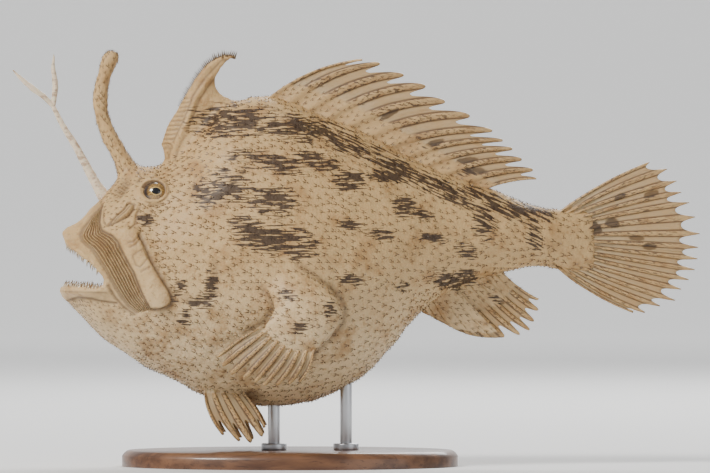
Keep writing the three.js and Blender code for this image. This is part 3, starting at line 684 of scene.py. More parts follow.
def planted(name, shape, roots, mapped=True):
    """One mesh of many copies of a shape. A root holds its place, an outward and a leaning direction,
    a size and its place on the unwrapped skin."""
    points, shells = shape
    tip = np.clip(points[:, 2] * 1.6, 0, 1)
    corners = []
    turned = []
    maps = []
    for index, (place, out, lean, size, spot) in enumerate(roots):
        out = np.array(out)
        along = np.array(lean) - np.dot(lean, out) * out
        along /= np.linalg.norm(along) + 1e-9
        axes = np.array([along, np.cross(out, along), out])
        corners.append(np.array(place) * MM + (points * size * MM) @ axes)
        turned.extend(tuple(v + index * len(points) for v in face) for face in shells)
        if mapped:
            flat = points[:, :2] * PRICKLE_IN_MAP + spot
            maps.extend(flat[v] for face in shells for v in face)
    mesh = bpy.data.meshes.new(name)
    mesh.from_pydata(np.vstack(corners).tolist(), [], turned)
    piece = bpy.data.objects.new(name, mesh)
    bpy.context.collection.objects.link(piece)
    if mapped:
        layer = mesh.uv_layers.new(name="OFBake")
        layer.data.foreach_set("uv", np.array(maps, np.float32).ravel())
        roots_at = np.repeat(np.array([root[0] for root in roots]) * MM, len(points), axis=0)
        set_value(piece, "mark", marks_and_shade(roots_at, PATCHES))
    set_value(piece, "tip", np.tile(tip, len(roots)))
    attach(piece, "root")
    return piece


BODY_LENGTH = 170
BODY_AXIS_Z = 50
BODY_AXIS_RISE = 0.055
ARM_OUT = 21.5
ARM_X = (-9, 15)
ARM_Z = (24, 50)


def skin_map(point):
    """The skin unrolled round the body's long axis, with the arms laid beside it; millimetres."""
    x, y, z = point
    if abs(y) > ARM_OUT and ARM_X[0] < x < ARM_X[1] and ARM_Z[0] < z < ARM_Z[1]:
        beside = 0.45 if y > 0 else 0
        return (0.1 + (x - ARM_X[0]) / 60 + beside, 0.7 + (z - ARM_Z[0]) / BODY_LENGTH)
    turn = math.atan2(y, z - (BODY_AXIS_Z + BODY_AXIS_RISE * (x + 58))) / math.tau + 0.5
    return (0.03 + 0.94 * (x + 60) / BODY_LENGTH, 0.03 + 0.62 * turn)


def body_prickles():
    """The roots of the forked prickles, closest on the face and on the club."""
    draw = random.Random(5)
    faces = [(face.center / MM, face.normal.copy()) for face in skin.data.polygons]
    draw.shuffle(faces)
    view = np.array([(spot.x, spot.z) for spot, _ in faces])
    bare = np.zeros(len(faces), bool)
    for outline in BARE_PLACES:
        bare |= within(outline, view)
    cx, cz, _, _ = EYE_OPENING
    bare |= np.hypot((view[:, 0] - cx) / EYE_BARE[0], (view[:, 1] - cz) / EYE_BARE[1]) < 1
    faces = [face for face, hidden in zip(faces, bare) if not hidden]

    def on_club(point):
        return point.x < CLUB_BACK_X and point.z > 74 + (point.x - CLUB_BACK_X) * 0.2

    def apart(point):
        if on_club(point):
            return CLUB_PRICKLE_APART
        face = 1 - min(max((point.x + 50) / 25, 0), 1)
        return PRICKLE_APART * (1 - 0.3 * face) * (1 + 0.12 * noise.noise(point * 0.09))

    roots = []
    for place, out in spread(faces, apart):
        low = min(max((45 - place.z) / 15, 0), 1) * min(max((2 - place.x) / 20, 0), 1)
        lean = Vector((-1, 0, 0.2 + 0.9 * low))
        size = PRICKLE_LENGTH * (0.6 if place.x < -38 else 1.0)
        if on_club(place):
            lean = Vector((-0.25, 0, 1))
            size = CLUB_PRICKLE_LENGTH
        lean += wavering(draw, 0.3)
        roots.append((place, out, lean, size * draw.uniform(0.8, 1.2), skin_map(place)))
    return roots


def upright(points):
    """Points of the side view, set in the fish's middle plane."""
    return [(x, 0, z) for x, z in points]


def carried_on(points):
    return [2 * points[0] - points[1], *points, 2 * points[-1] - points[-2]]


def on_curve(ends, spot):
    """A point of a smooth curve; whole numbers are the given points, and ends has one more at each end."""
    index = min(max(int(spot), 0), len(ends) - 4)
    t = spot - index
    a, b, c, d = ends[index : index + 4]
    return 0.5 * (2 * b + (c - a) * t + (2 * a - 5 * b + 4 * c - d) * t**2 + (3 * b - a - 3 * c + d) * t**3)


def curve_through(points, count=160, parts=24):
    """Evenly spaced points on a smooth curve through a few given ones."""
    points = [Vector(point) for point in points]
    ends = carried_on(points)
    line = [on_curve(ends, index / parts) for index in range((len(points) - 1) * parts)]
    line.append(points[-1])
    far = np.concatenate([[0], np.cumsum([(q - p).length for p, q in zip(line, line[1:])])])
    even = np.linspace(0, far[-1], count)
    return np.stack([np.interp(even, far, [p[k] for p in line]) for k in range(3)], axis=1)


def at_share(line, share):
    spot = min(max(share, 0), 1) * (len(line) - 1)
    low = min(int(spot), len(line) - 2)
    return Vector(line[low] + (line[low + 1] - line[low]) * (spot - low))


def fringe():
    """Bristles along the front of the hooked spine, and round the top of the club."""
    draw = random.Random(8)
    roots = []
    line = curve_through(upright(HOOK_FRONT))
    for index in range(HOOK_BRISTLES):
        share = index / (HOOK_BRISTLES - 1)
        spot = at_share(line, share)
        ahead = (at_share(line, share + 0.02) - at_share(line, share - 0.02)).normalized()
        out = Vector((-ahead.z, draw.uniform(-0.6, 0.6), ahead.x)).normalized()
        spot = spot - out * 0.35 + Vector((0, draw.uniform(-0.3, 0.3), 0))
        roots.append((spot, out, ahead, draw.uniform(1.4, 2.0) * (0.7 + 0.3 * share), skin_map(spot)))
    line = curve_through(upright(CLUB_LINE))
    for _ in range(CLUB_BRISTLES):
        out = Vector((draw.uniform(-1, 1), draw.uniform(-1, 1), draw.uniform(0, 1.2))).normalized()
        spot = at_share(line, draw.uniform(0.93, 0.965)) + out * 1.1
        roots.append((spot, out, (0, 0, 1), draw.uniform(0.8, 1.2), skin_map(spot)))
    return roots


def prickle_finish():
    finish = Finish("prickles")
    colour = hide_colour(finish, finish.place())
    # The prickles are painted darker than the hide, most at their tips, as painted shade standing for the
    # shadows they cast.
    colour = finish.mix(0.72 + 0.2 * held(finish, "tip"), colour, (0.045, 0.021, 0.009))
    return finish.done({"Roughness": 0.5}, Base_Color=colour)


PRICKLE_FINISH = prickle_finish()
roots = sorted(body_prickles(), key=lambda root: root[0].x)
FULL_PIECE = 9000
for index in range(0, len(roots), FULL_PIECE):
    name = f"prickles_{index // FULL_PIECE + 1}"
    planted(name, FORKED, roots[index : index + FULL_PIECE]).data.materials.append(PRICKLE_FINISH)
planted("fringe", BRISTLE, fringe()).data.materials.append(PRICKLE_FINISH)


# The fins: each a thin translucent skin stretched over jointed rays, whose ends stand free of it.
# The flesh of the body runs up over their roots, prickles and all, and the rays of the tail fin fork.
ACROSS_RAY = [-0.5, -0.42, -0.35, -0.29, -0.24, -0.18, -0.09, 0, 0.09, 0.18, 0.24, 0.29, 0.35, 0.42]
MOST_RAYS = 16  # a fin's map holds its rays as sixteenths
FIN_ROWS = 40
# Half a ray's breadth, as a share of the way to the next ray, and how much of it goes by the tip.
RAY_BREADTH = 0.26
RAY_TAPER = 0.06
# How fast the joints of a ray follow each other, as an angle over its whole length.
JOINT_PACE = 110
# The two rays of a forked pair start drawn together by a share, and are apart from this far out.
FORK_GATHER = 0.62
FORK_AT = 0.55
THINNEST = 0.12


def outward_faces(piece):
    """Turns every face of a closed mesh outward, and shades it smooth."""
    only(piece)
    bpy.ops.object.mode_set(mode="EDIT")
    bpy.ops.mesh.select_all(action="SELECT")
    bpy.ops.mesh.normals_make_consistent(inside=False)
    bpy.ops.object.mode_set(mode="OBJECT")
    bpy.ops.object.shade_smooth()


def fin_piece(name, node, roots, tips, bends, across, thick, notch, hide, finger=0.0, forked=False, bare=0):
    """A fin from its root line to a tip for each ray. thick holds the depth of the flesh at the root,
    of the web and of the rays. hide is how far out the prickly hide reaches, and where it ends.
    A finger is a ray's free end, as a share of the way to the next; the first bare rays are all flesh."""
    rays = len(tips)
    stations = [ray + off for ray in range(rays) for off in ACROSS_RAY if 0 <= ray + off <= rays - 1]
    root_line = curve_through(roots)
    tip_ends = carried_on([Vector(tip) for tip in tips])
    across = Vector(across).normalized()
    flesh, web, ray_depth = thick
    draw = random.Random(len(name) * 7 + rays)
    ragged = [draw.uniform(0.8, 1.2) for _ in range(rays)]
    swing = [draw.uniform(-1, 1) for _ in range(rays + 1)]
    bpy.ops.mesh.primitive_grid_add(x_subdivisions=len(stations) - 1, y_subdivisions=FIN_ROWS, size=1)
    piece = bpy.context.object
    piece.name = name
    group = piece.vertex_groups.new(name="thickness")
    thickest = flesh + ray_depth
    covered = []
    layer = piece.data.uv_layers.active
    for loop in piece.data.loops:
        spot = piece.data.vertices[loop.vertex_index].co
        ray = stations[round((spot.x + 0.5) * (len(stations) - 1))]
        layer.data[loop.index].uv = (ray / MOST_RAYS, spot.y + 0.5)
    for vertex in piece.data.vertices:
        ray = stations[round((vertex.co.x + 0.5) * (len(stations) - 1))]
        share = ray / (rays - 1)
        nearest = round(ray)
        off = abs(ray - nearest)
        fleshy = ray < bare
        # The web is cut back from the tips between the rays, and v runs from the root to its edge.
        cut = notch * ragged[min(int(ray), rays - 1)]
        if fleshy:
            cut = 0
        elif finger:
            slope = min(max((off - finger) / (0.45 - finger), 0), 1)
            cut *= slope * slope * (3 - 2 * slope)
            cut += 0.03 * min(off / finger, 1) ** 2
        else:
            cut *= 1 - (1 - min(2 * off, 1)) ** 2.4
        v = (vertex.co.y + 0.5) * (1 - cut)
        pair = min(max(2 * math.floor((nearest + 1) / 2) - 0.5, 0), rays - 1)
        gather = FORK_GATHER * max(1 - v / FORK_AT, 0) if forked else 0
        root = at_share(root_line, (ray + (pair - nearest) * gather) / (rays - 1))
        place = root.lerp(on_curve(tip_ends, ray), v)
        place += Vector(bends[0]).lerp(Vector(bends[1]), share) * (4 * v * (1 - v))
        place += across * (swing[nearest] * 0.3 * v**1.5 + 0.2 * math.sin(ray * math.tau) * v)
        # The rays are round and jointed, and sink into the prickly flesh near the root.
        round_ray = 0 if fleshy else max(1 - (off / (RAY_BREADTH - RAY_TAPER * v)) ** 2, 0) ** 0.5
        covered.append(1 - float(step(v, *((0.8, 0.98) if fleshy else hide))))
        round_ray *= 1 - 0.7 * covered[-1]
        joints = 1 - 0.2 * (math.sin(v * JOINT_PACE) > 0.7)
        body = flesh * max(1 - v / 0.5, 0) ** 1.6 * (0.7 + 0.3 * max(1 - off / 0.4, 0))
        if fleshy:
            body = flesh * (1 - 0.55 * v) * (1 - v**6)
        fine = 0.05 * (noise.noise(Vector((ray * 9, v * 40, rays))) + 0.5)
        depth = web * (1 - 0.45 * v) + body + ray_depth * (1 - 0.55 * v) * round_ray * joints + fine
        depth = max(depth, THINNEST)
        vertex.co = place * MM
        group.add([vertex.index], min(depth / thickest, 1), "REPLACE")
    set_value(piece, "hide", covered)
    apply(
        piece,
        "SOLIDIFY",
        thickness=thickest * MM,
        offset=0,
        vertex_group="thickness",
        thickness_vertex_group=0,
        use_even_offset=False,
    )
    outward_faces(piece)
    set_value(piece, "mark", marks_and_shade(corners_of(piece), FIN_SPOTS + PATCHES))
    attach(piece, "root")
    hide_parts(node)
    return piece


# Dark spots of the fins, as middle X and Z, half length, half height and tilt: millimetres, degrees.
FIN_SPOTS = [
    (80.7, 60.8, 1.9, 1.4, 10), (76.1, 59.5, 2.2, 1.5, 35), (89.8, 54.9, 2, 1, 4), (86.6, 57, 2, 0.7, 4),
    (82.4, 67.2, 1.9, 0.8, -30), (90.2, 67.9, 2, 1, -20), (51.8, 41.6, 2.4, 0.9, 25),
    (45.6, 73.6, 3.4, 1.1, -5), (44, 76.4, 3, 0.8, -8), (36, 80.6, 3, 0.9, -20), (25, 88, 3, 0.8, -30),
]


def fin_finish():
    finish = Finish("fin")
    place = finish.place()
    own = finish.own_map()
    ray = finish.node("ShaderNodeSeparateXYZ", None, {0: own}, out=0) * MOST_RAYS
    out = finish.node("ShaderNodeSeparateXYZ", None, {0: own}, out=1)
    turned = ray + 0.5
    off = turned.maths("FRACT", turned) - 0.5
    off = off.maths("ABSOLUTE", off)
    on_ray = 1 - finish.ramp(off, 0.19, 0.27)
    edge = finish.ramp(off, 0.15, 0.22) * (1 - finish.ramp(off, 0.25, 0.33)) * finish.ramp(out, 0.12, 0.4)
    mottled = finish.ramp(finish.noise(place, 240, 4, 0.6), 0.42, 0.7)
    ray_tone = finish.mix(mottled * 0.7, PALE, OCHRE)
    web_tone = finish.mix(mottled * 0.5, (0.62, 0.46, 0.26), PALE)
    colour = finish.mix(on_ray, web_tone, ray_tone)
    colour = finish.mix(edge * 0.85, colour, (0.1, 0.048, 0.02))
    dashes = finish.noise(finish.moved(own, scale=(0.017, 0.09, 1)), 2.2, 2, 0.6)
    dashes = finish.ramp(dashes, 0.52, 0.58) * (0.1 + 0.9 * on_ray)
    dashes = dashes * (1 - finish.ramp(out, 0.75, 0.98) * 0.6)
    colour = finish.mix(dashes * 0.85, colour, (0.07, 0.034, 0.015))
    ragged = finish.noise(place, 700, 2) - 0.5
    # Dark spots of the fins, and the patches of painted shade where they reach over the fins.
    dark = finish.ramp(held(finish, "mark") + ragged * 0.7, 0.3, 0.6)
    colour = finish.mix(dark * 0.8, colour, UMBER)
    hide = finish.ramp(held(finish, "hide") + ragged * 0.7, 0.3, 0.7)
    colour = finish.mix(hide, colour, hide_colour(finish, place))
    fibres = finish.noise(finish.moved(own, scale=(0.012, 0.8, 1)), 9.0, 3, 0.6)
    height = fibres * 0.6 + finish.noise(place, 1600, 3) * 0.4
    principled = {
        "Base Color": colour,
        "Roughness": 0.4 + 0.2 * fibres,
        "Coat Weight": 0.15,
        "Coat Roughness": 0.25,
        "Subsurface Weight": 0.15,
        "Subsurface Radius": (0.003, 0.0018, 0.001),
        "Normal": finish.node("ShaderNodeBump", None, {"Height": height, "Distance": 0.16 * MM}),
    }
    flesh = finish.node("ShaderNodeBsdfPrincipled", None, principled)
    thin = finish.node("ShaderNodeBsdfTranslucent", None, {"Color": (0.66, 0.47, 0.24)})
    share = (1 - on_ray) * (1 - hide) * finish.ramp(out, 0.2, 0.7) * 0.4
    finish.node_out(finish.node("ShaderNodeMixShader", None, {0: share, 1: flesh, 2: thin}))
    return finish.material


def sided(hand, points):
    """Points of the fish's right side, or of its left side where hand is -1."""
    return [(x, hand * y, z) for x, y, z in points]


SIDEWAYS = (0, 1, 0)
fins = {
    "dorsal_fin": dict(
        roots=upright([(-9.5, 88.4), (8, 84.5), (26, 76.5), (46.5, 68)]),
        tips=upright([
            (18, 101.6), (22.3, 100.8), (28.2, 98), (33.7, 95.2), (38.5, 91.4), (44.7, 87.9), (50.5, 84),
            (53.2, 81.5), (55.6, 79.4), (57.9, 76.8), (60.7, 74.1), (61.6, 71.8),
        ]),
        bends=[(-1, 0, 2.6), (-0.3, 0, 0.9)],
        across=SIDEWAYS,
        thick=(4.4, 0.36, 1.2),
        notch=0.2,
        hide=(0.22, 0.5),
        finger=0.17,
    ),
    "anal_fin": dict(
        roots=upright([(31.5, 43), (38, 46), (44, 48.6), (50.5, 51)]),
        tips=upright([
            (33.6, 38.4), (39.9, 34.9), (44.8, 32.8), (49.4, 32.1), (53.5, 32.2), (57.4, 32.8),
            (59.9, 34), (61, 36.2), (62.1, 39), (62.2, 41.7),
        ]),
        bends=[(0, 0, -0.8), (0.3, 0, -1.2)],
        across=SIDEWAYS,
        thick=(4.2, 0.36, 1.1),
        notch=0.2,
        hide=(0.35, 0.6),
        finger=0.1,
        bare=4,
    ),
    "caudal_fin": dict(
        roots=upright([(65.5, 62), (65.5, 50.9)]),
        tips=upright([
            (89.9, 76), (94.3, 74.3), (96.7, 71.3), (97.9, 68.5), (99.8, 65.9), (101.4, 62.3),
            (102.5, 58.1), (102.1, 54.7), (101.9, 51.8), (101.2, 49.1), (99.7, 46.6), (97.8, 44.2),
            (96.3, 41.4), (92.5, 40), (88.7, 38.4), (85.8, 38.5),
        ]),
        bends=[(-0.6, 0, 1), (-0.6, 0, -1)],
        across=SIDEWAYS,
        thick=(3.6, 0.36, 1.05),
        notch=0.11,
        hide=(0.1, 0.3),
        forked=True,
    ),
}
for name, hand in {"left": -1, "right": 1}.items():
    fins[f"pectoral_fin_{name}"] = dict(
        roots=sided(hand, [(-7.2, 25.7, 34.9), (-2.2, 25.7, 31.6), (2.6, 25.7, 29.4), (6.2, 25.7, 29.2)]),
        tips=sided(hand, [
            (-17.7, 25, 27.8), (-16.4, 25.4, 25.6), (-14.3, 25.8, 23.5), (-11, 26.2, 22.5),
            (-8.4, 26.4, 21.6), (-6.2, 26.4, 20.8), (-3, 26.2, 20.9), (0, 25.9, 21.3), (2.6, 25.6, 21.8),
        ]),
        bends=[(0.3, hand, 0.8), (0.6, hand, -0.3)],
        across=SIDEWAYS,
        thick=(2.3, 0.34, 1.4),
        notch=0.26,
        hide=(0.02, 0.12),
        finger=0.14,
    )
    fins[f"pelvic_fin_{name}"] = dict(
        roots=sided(hand, [(-21.3, 6.4, 20), (-18, 6.6, 20), (-13.4, 6.8, 20)]),
        tips=sided(hand, [
            (-16.7, 9.4, 8.2), (-12.6, 10.2, 6.7), (-9.6, 10.6, 6.3), (-6.7, 10.6, 7.9), (-6.2, 10.2, 10),
        ]),
        bends=[(-1.4, 0, 0), (0.4, 0, 0.8)],
        across=(0.15, 1, 0.3 * hand),
        thick=(3, 0.45, 1.5),
        notch=0.26,
        hide=(0.08, 0.22),
        finger=0.17,
    )
FIN_FINISH = fin_finish()
fin_pieces = {}
for node, shape in fins.items():
    fin_pieces[node] = fin_piece(node + "_rays", node, **shape)
    fin_pieces[node].data.materials.append(FIN_FINISH)


# How far apart the fins' own prickles stand, closer than the body's.
FIN_PRICKLE_APART = 1.35


def fin_map(point):
    """The fins laid in a strip above the skin's own map, one side after the other."""
    across = 0.02 + 0.45 * (point.x + 12) / 120 + (0.5 if point.y > 0 else 0)
    return (across, 0.87 + 0.12 * (point.z - 30) / 80)


def fin_prickles():
    """Prickles on the fleshy lower part of the dorsal and anal fins, and along the rays of the tail fin."""
    draw = random.Random(6)
    # How far out they cover the fin and its rays, how they lean, and their size.
    kinds = {
        "dorsal_fin": (0.5, 0.8, (1, 0, 0.45), 0.7),
        "anal_fin": (0.62, 0.8, (1, 0, -0.3), 0.78),
        "caudal_fin": (0.26, 0.72, (1, 0, 0), 0.5),
    }
    roots = []
    for node, (reach, further, lean, size) in kinds.items():
        piece = fin_pieces[node]
        layer = piece.data.uv_layers.active
        faces = []
        for face in piece.data.polygons:
            ray, v = layer.data[face.loop_start].uv
            ray *= MOST_RAYS
            fleshy = node == "anal_fin" and ray < 4.1 and v < 0.95
            on_ray = abs((ray + 0.5) % 1 - 0.5) < 0.2 and v < further
            if v < reach * (1 - 0.35 * ray / 12) or fleshy or on_ray:
                faces.append((face.center / MM, face.normal.copy()))
        draw.shuffle(faces)
        for place, out in spread(faces, lambda point: FIN_PRICKLE_APART):
            tilted = Vector(lean) + Vector((0, 0, (place.z - 56) / 30 if node == "caudal_fin" else 0))
            tilted += wavering(draw, 0.2)
            length = PRICKLE_LENGTH * size * draw.uniform(0.8, 1.2)
            roots.append((place, out, tilted, length, fin_map(place)))
    return roots


planted("fin_prickles", FORKED, fin_prickles()).data.materials.append(PRICKLE_FINISH)


# The fishing rod and its lure: a bare fleshy stalk on the snout that ends in two worm-like tips.
# Each is drawn out round a bent core, thicker in the lure's middle and pointed at its ends.
def stalk(name, node, lines):
    core = bpy.data.curves.new(name, "CURVE")
    core.dimensions = "3D"
    core.bevel_depth = MM
    core.bevel_resolution = 3
    core.resolution_u = 10
    core.use_fill_caps = True
    for points in lines:
        spline = core.splines.new("BEZIER")
        spline.bezier_points.add(len(points) - 1)
        for knot, (x, y, z, radius) in zip(spline.bezier_points, points):
            knot.co = (x * MM, y * MM, z * MM)
            knot.radius = radius
            knot.handle_left_type = "AUTO"
            knot.handle_right_type = "AUTO"
    piece = bpy.data.objects.new(name, core)
    bpy.context.collection.objects.link(piece)
    only(piece)
    bpy.ops.object.convert(target="MESH")
    piece = bpy.context.object
    apply(piece, "REMESH", mode="VOXEL", voxel_size=0.16 * MM)
    apply(piece, "SMOOTH", factor=0.5, iterations=4)
    apply(piece, "DISPLACE", texture=clouds(name + "_skin", 0.0012, 1), strength=0.2 * MM, mid_level=0.5)
    bpy.ops.object.shade_smooth()
    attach(piece, "root")
    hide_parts(node)
    return piece


def lure_finish():
    finish = Finish("lure")
    place = finish.place()
    bands = finish.noise(finish.moved(place, scale=(1, 1, 0.5)), 520, 3, 0.6)
    colour = finish.mix(finish.ramp(bands, 0.5, 0.64) * 0.65, (0.78, 0.64, 0.46), (0.3, 0.16, 0.08))
    height = finish.noise(place, 2200, 3)
    fixed = {"Subsurface Weight": 0.25, "Subsurface Radius": (0.002, 0.001, 0.0006), "Coat Weight": 0.2}
    return finish.done(fixed, height, 0.12 * MM, Base_Color=colour, Roughness=0.38 + 0.2 * bands)


# Each point of a core is its X, Y and Z, then its radius.
ROD = [
    (-44.4, 0, 64.2, 2.3), (-46.4, 0, 67.2, 1.75), (-48.4, 0, 70.4, 1.3), (-50.9, 0, 75, 1.12),
    (-53.5, 0, 79.8, 0.95), (-57, 0, 85.6, 0.74), (-59.2, 0, 89.9, 0.62),
]
LURE = [
    [
        (-59.2, 0, 89.9, 0.6), (-61.4, -0.3, 92.2, 0.7), (-63.8, -0.6, 94, 0.8), (-66.8, -0.9, 96.5, 0.62),
        (-69.3, -1, 99, 0.22),
    ],
    [
        (-59.2, 0, 89.9, 0.6), (-58.9, 0.3, 92.8, 0.75), (-58.7, 0.5, 95.6, 0.78), (-59.2, 0.7, 99, 0.6),
        (-59.1, 0.8, 103, 0.2),
    ],
]
LURE_FINISH = lure_finish()
for piece in (stalk("fishing_rod", "illicium", [ROD]), stalk("forked_lure", "esca", LURE)):
    piece.data.materials.append(LURE_FINISH)


# The teeth: two uneven rows of fine, inward-curved fangs of dense ivory, set in each jaw.
# Each stands on the gum, the nearest place of the skin to a curve round the jaw.
MOUTH_CORNER_X = -44.7
MOUTH_WIDTH = 16.2
SNOUT_X = -56.6
LOWER_GUM_Z = 45.0
TEETH_IN_ROW = 38
FANG_SIDES = 6
FANG_RINGS = 5
TOOTH_LINE = [
    (-57, 57.4), (-56.3, 56.2), (-54.4, 54.4), (-51.3, 52.2), (-48.8, 50.3), (-46.6, 47.7), (-44.8, 45.2),
]


def fang():
    """A curved cone of unit length along Z that bends towards X."""
    turns = [math.tau * k / FANG_SIDES for k in range(FANG_SIDES)]
    edges = [(k, (k + 1) % FANG_SIDES) for k in range(FANG_SIDES)]
    points = []
    for level in range(FANG_RINGS):
        t = level / FANG_RINGS
        radius = 0.19 * (1 - t) ** 0.75
        middle = np.array([0.3 * t * t, 0, t - 0.25])
        points.extend(middle + radius * np.array([math.cos(turn), math.sin(turn), 0]) for turn in turns)
    points.append((0.32, 0, 0.78))
    shells = []
    for level in range(FANG_RINGS - 1):
        start = level * FANG_SIDES
        shells += [(start + a, start + b, start + FANG_SIDES + b, start + FANG_SIDES + a) for a, b in edges]
    start = (FANG_RINGS - 1) * FANG_SIDES
    shells += [(start + a, start + b, start + FANG_SIDES) for a, b in edges]
    shells.append(tuple(reversed(range(FANG_SIDES))))
    return np.array(points), shells


def tooth_roots(height_at, up, seed):
    """Two rows round a jaw: the outer one of long teeth, and a shorter one within."""
    draw = random.Random(seed)
    roots = []
    for row, inset in enumerate((0.1, 1.0)):
        for index in range(TEETH_IN_ROW):
            turn = (index + 0.5 + draw.uniform(-0.3, 0.3)) / TEETH_IN_ROW * 2 - 1
            turn *= 0.86 * math.pi / 2
            x = MOUTH_CORNER_X - (MOUTH_CORNER_X - SNOUT_X - inset) * math.cos(turn) ** 0.9
            y = (MOUTH_WIDTH - inset) * math.sin(turn)
            gum = skin.closest_point_on_mesh(Vector((x, y, height_at(x))) * MM)[1] / MM
            inward = Vector((1, -y / MOUTH_WIDTH, 0))
            size = draw.uniform(1.5, 2.1) * (0.8 if row else 1.0)
            out = Vector((0.1 * draw.uniform(-1, 1) - (0.3 if up < 0 else 0.0), 0.1 * y / MOUTH_WIDTH, up))
            roots.append((gum, out.normalized(), inward, size, None))
    return roots


def tooth_finish():
    finish = Finish("teeth")
    stain = finish.noise(finish.place(), 800, 3)
    colour = finish.mix(finish.ramp(stain, 0.4, 0.75), (0.74, 0.62, 0.42), (0.45, 0.31, 0.16))
    colour = finish.mix(held(finish, "tip") * 0.8, colour, (0.16, 0.085, 0.035))
    return finish.done({"Coat Weight": 0.5}, Base_Color=colour, Roughness=0.25 + 0.1 * stain)


def upper_gum(x):
    return float(np.interp(x, *zip(*TOOTH_LINE))) - 0.5


def lower_gum(x):
    return LOWER_GUM_Z


TOOTH_FINISH = tooth_finish()
for name, height_at, up, seed in [("upper", upper_gum, -1, 3), ("lower", lower_gum, 1, 4)]:
    teeth = planted(f"teeth_{name}", fang(), tooth_roots(height_at, up, seed), mapped=False)
    teeth.data.materials.append(TOOTH_FINISH)
    only(teeth)
    bpy.ops.object.shade_smooth()


# The eyes: glass balls painted behind, with a golden iris rayed with brown and a wet clear front.
# Each sits in a ring of rubber skin with painted shade at its inner edge, inside the folds of the lids.
PUPIL_AT = (-33.1 * MM, 0, 68.7 * MM)
PUPIL_HALF = (1.15 * MM, 1, 0.82 * MM)


def eye_finish():
    finish = Finish("eye")
    own = finish.own_map()
    place = finish.place()
    toward = finish.node("ShaderNodeSeparateXYZ", None, {0: own}, out=1)
    rays = finish.noise(finish.moved(own, scale=(0.028, 1.4, 1)), 4.0, 3, 0.7)
    iris = finish.mix(finish.ramp(rays, 0.4, 0.6), (0.46, 0.27, 0.07), (0.07, 0.03, 0.01))
    pupil = finish.length(finish.moved(place, PUPIL_AT, (0, 0.12, 0), PUPIL_HALF))
    iris = finish.mix((1 - finish.ramp(pupil, 1.15, 1.35)) * 0.75, iris, (0.7, 0.48, 0.17))
    colour = finish.mix(1 - finish.ramp(pupil, 0.96, 1.04), iris, (0.003, 0.003, 0.004))
    colour = finish.mix(1 - finish.ramp(toward, 0.7, 0.8), colour, (0.03, 0.015, 0.008))
    return finish.done({"Coat Weight": 1.0, "Coat Roughness": 0.02, "Roughness": 0.2}, Base_Color=colour)


EYE_FINISH = eye_finish()
for name, hand in {"left": -1, "right": 1}.items():
    middle = Vector((EYE[0], hand * EYE[1], EYE[2]))
    facing = Vector((0.2, hand * 0.92, 0.3)).normalized()
    bpy.ops.mesh.primitive_uv_sphere_add(segments=48, ring_count=32, radius=EYE_RADIUS, location=(0, 0, 0))
    eyeball = bpy.context.object
    eyeball.name = f"eyeball_{name}"
    aimed = Vector((0, 0, 1)).rotation_difference(facing).to_matrix()
    for vertex in eyeball.data.vertices:
        bulge = 1 + 0.12 * max(vertex.co.z / EYE_RADIUS - 0.8, 0)
        vertex.co = (aimed @ (vertex.co * bulge) + middle) * MM
    bpy.ops.object.shade_smooth()
    eyeball.data.materials.append(EYE_FINISH)
    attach(eyeball, "root")
    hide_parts(f"eye_{name}")
    bpy.ops.mesh.primitive_torus_add(
        major_segments=64, minor_segments=14, major_radius=1, minor_radius=0.25, location=(0, 0, 0)
    )
    lid = bpy.context.object
    lid.name = f"eyelid_{name}"
    cx, cz, wide, tall = EYE_OPENING
    shaded = []
    for vertex in lid.data.vertices:
        turn = math.atan2(vertex.co.y, vertex.co.x)
        ring = math.hypot(vertex.co.x, vertex.co.y) - 1
        spot = Vector((cx + (wide + 0.1) * math.cos(turn), 0, cz + (tall + 0.1) * math.sin(turn)))
        flat = math.hypot(spot.x - middle.x, spot.z - middle.z)
        spot.y = middle.y + hand * math.sqrt(max(EYE_RADIUS**2 - flat**2, 0.2))
        out = (spot - middle).normalized()
        sideways = Vector((math.cos(turn), 0, math.sin(turn)))
        thick = 1.5 + 0.4 * math.sin(turn)
        vertex.co = (spot + out * (vertex.co.z * thick - 0.02) + sideways * ring * 1.3) * MM
        # Painted shade along the lid's inner edge, against the eye.
        shaded.append(0.9 * float(step(-ring, -0.02, 0.14)))
    outward_faces(lid)
    set_value(lid, "crease", shaded)
    for value in ("pleated", "fold", "mark"):
        set_value(lid, value, np.zeros(len(lid.data.vertices)))
    lid.data.materials.append(skin.data.materials[0])
    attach(lid, "root")


# The display stand: a turned oval base of dark hardwood with a moulded edge, and two steel rods.
# Each rod stands in a collar that is let into the base, and ends inside the belly.
def wood_finish():
    finish = Finish("wood")
    place = finish.place()
    rings = finish.noise(finish.moved(place, scale=(6, 1, 1)), 260, 4, 0.6)
    grain = finish.noise(finish.moved(place, scale=(14, 0.6, 0.6)), 900, 3, 0.7)
    colour = finish.mix(finish.ramp(rings, 0.35, 0.65), (0.085, 0.035, 0.016), (0.2, 0.09, 0.04))
    colour = finish.mix(finish.ramp(grain, 0.55, 0.7) * 0.6, colour, (0.035, 0.014, 0.008))
    lacquer = {"Coat Weight": 0.5, "Coat Roughness": 0.12}
    return finish.done(lacquer, grain, 0.03 * MM, Base_Color=colour, Roughness=0.34 + 0.14 * rings)


def steel_finish():
    finish = Finish("steel")
    place = finish.place()
    brushed = finish.noise(finish.moved(place, scale=(1, 1, 0.02)), 700, 2)
    fixed = {"Metallic": 1.0, "Base Color": (0.62, 0.63, 0.65)}
    return finish.done(fixed, brushed, 0.01 * MM, Roughness=0.24 + 0.16 * brushed)


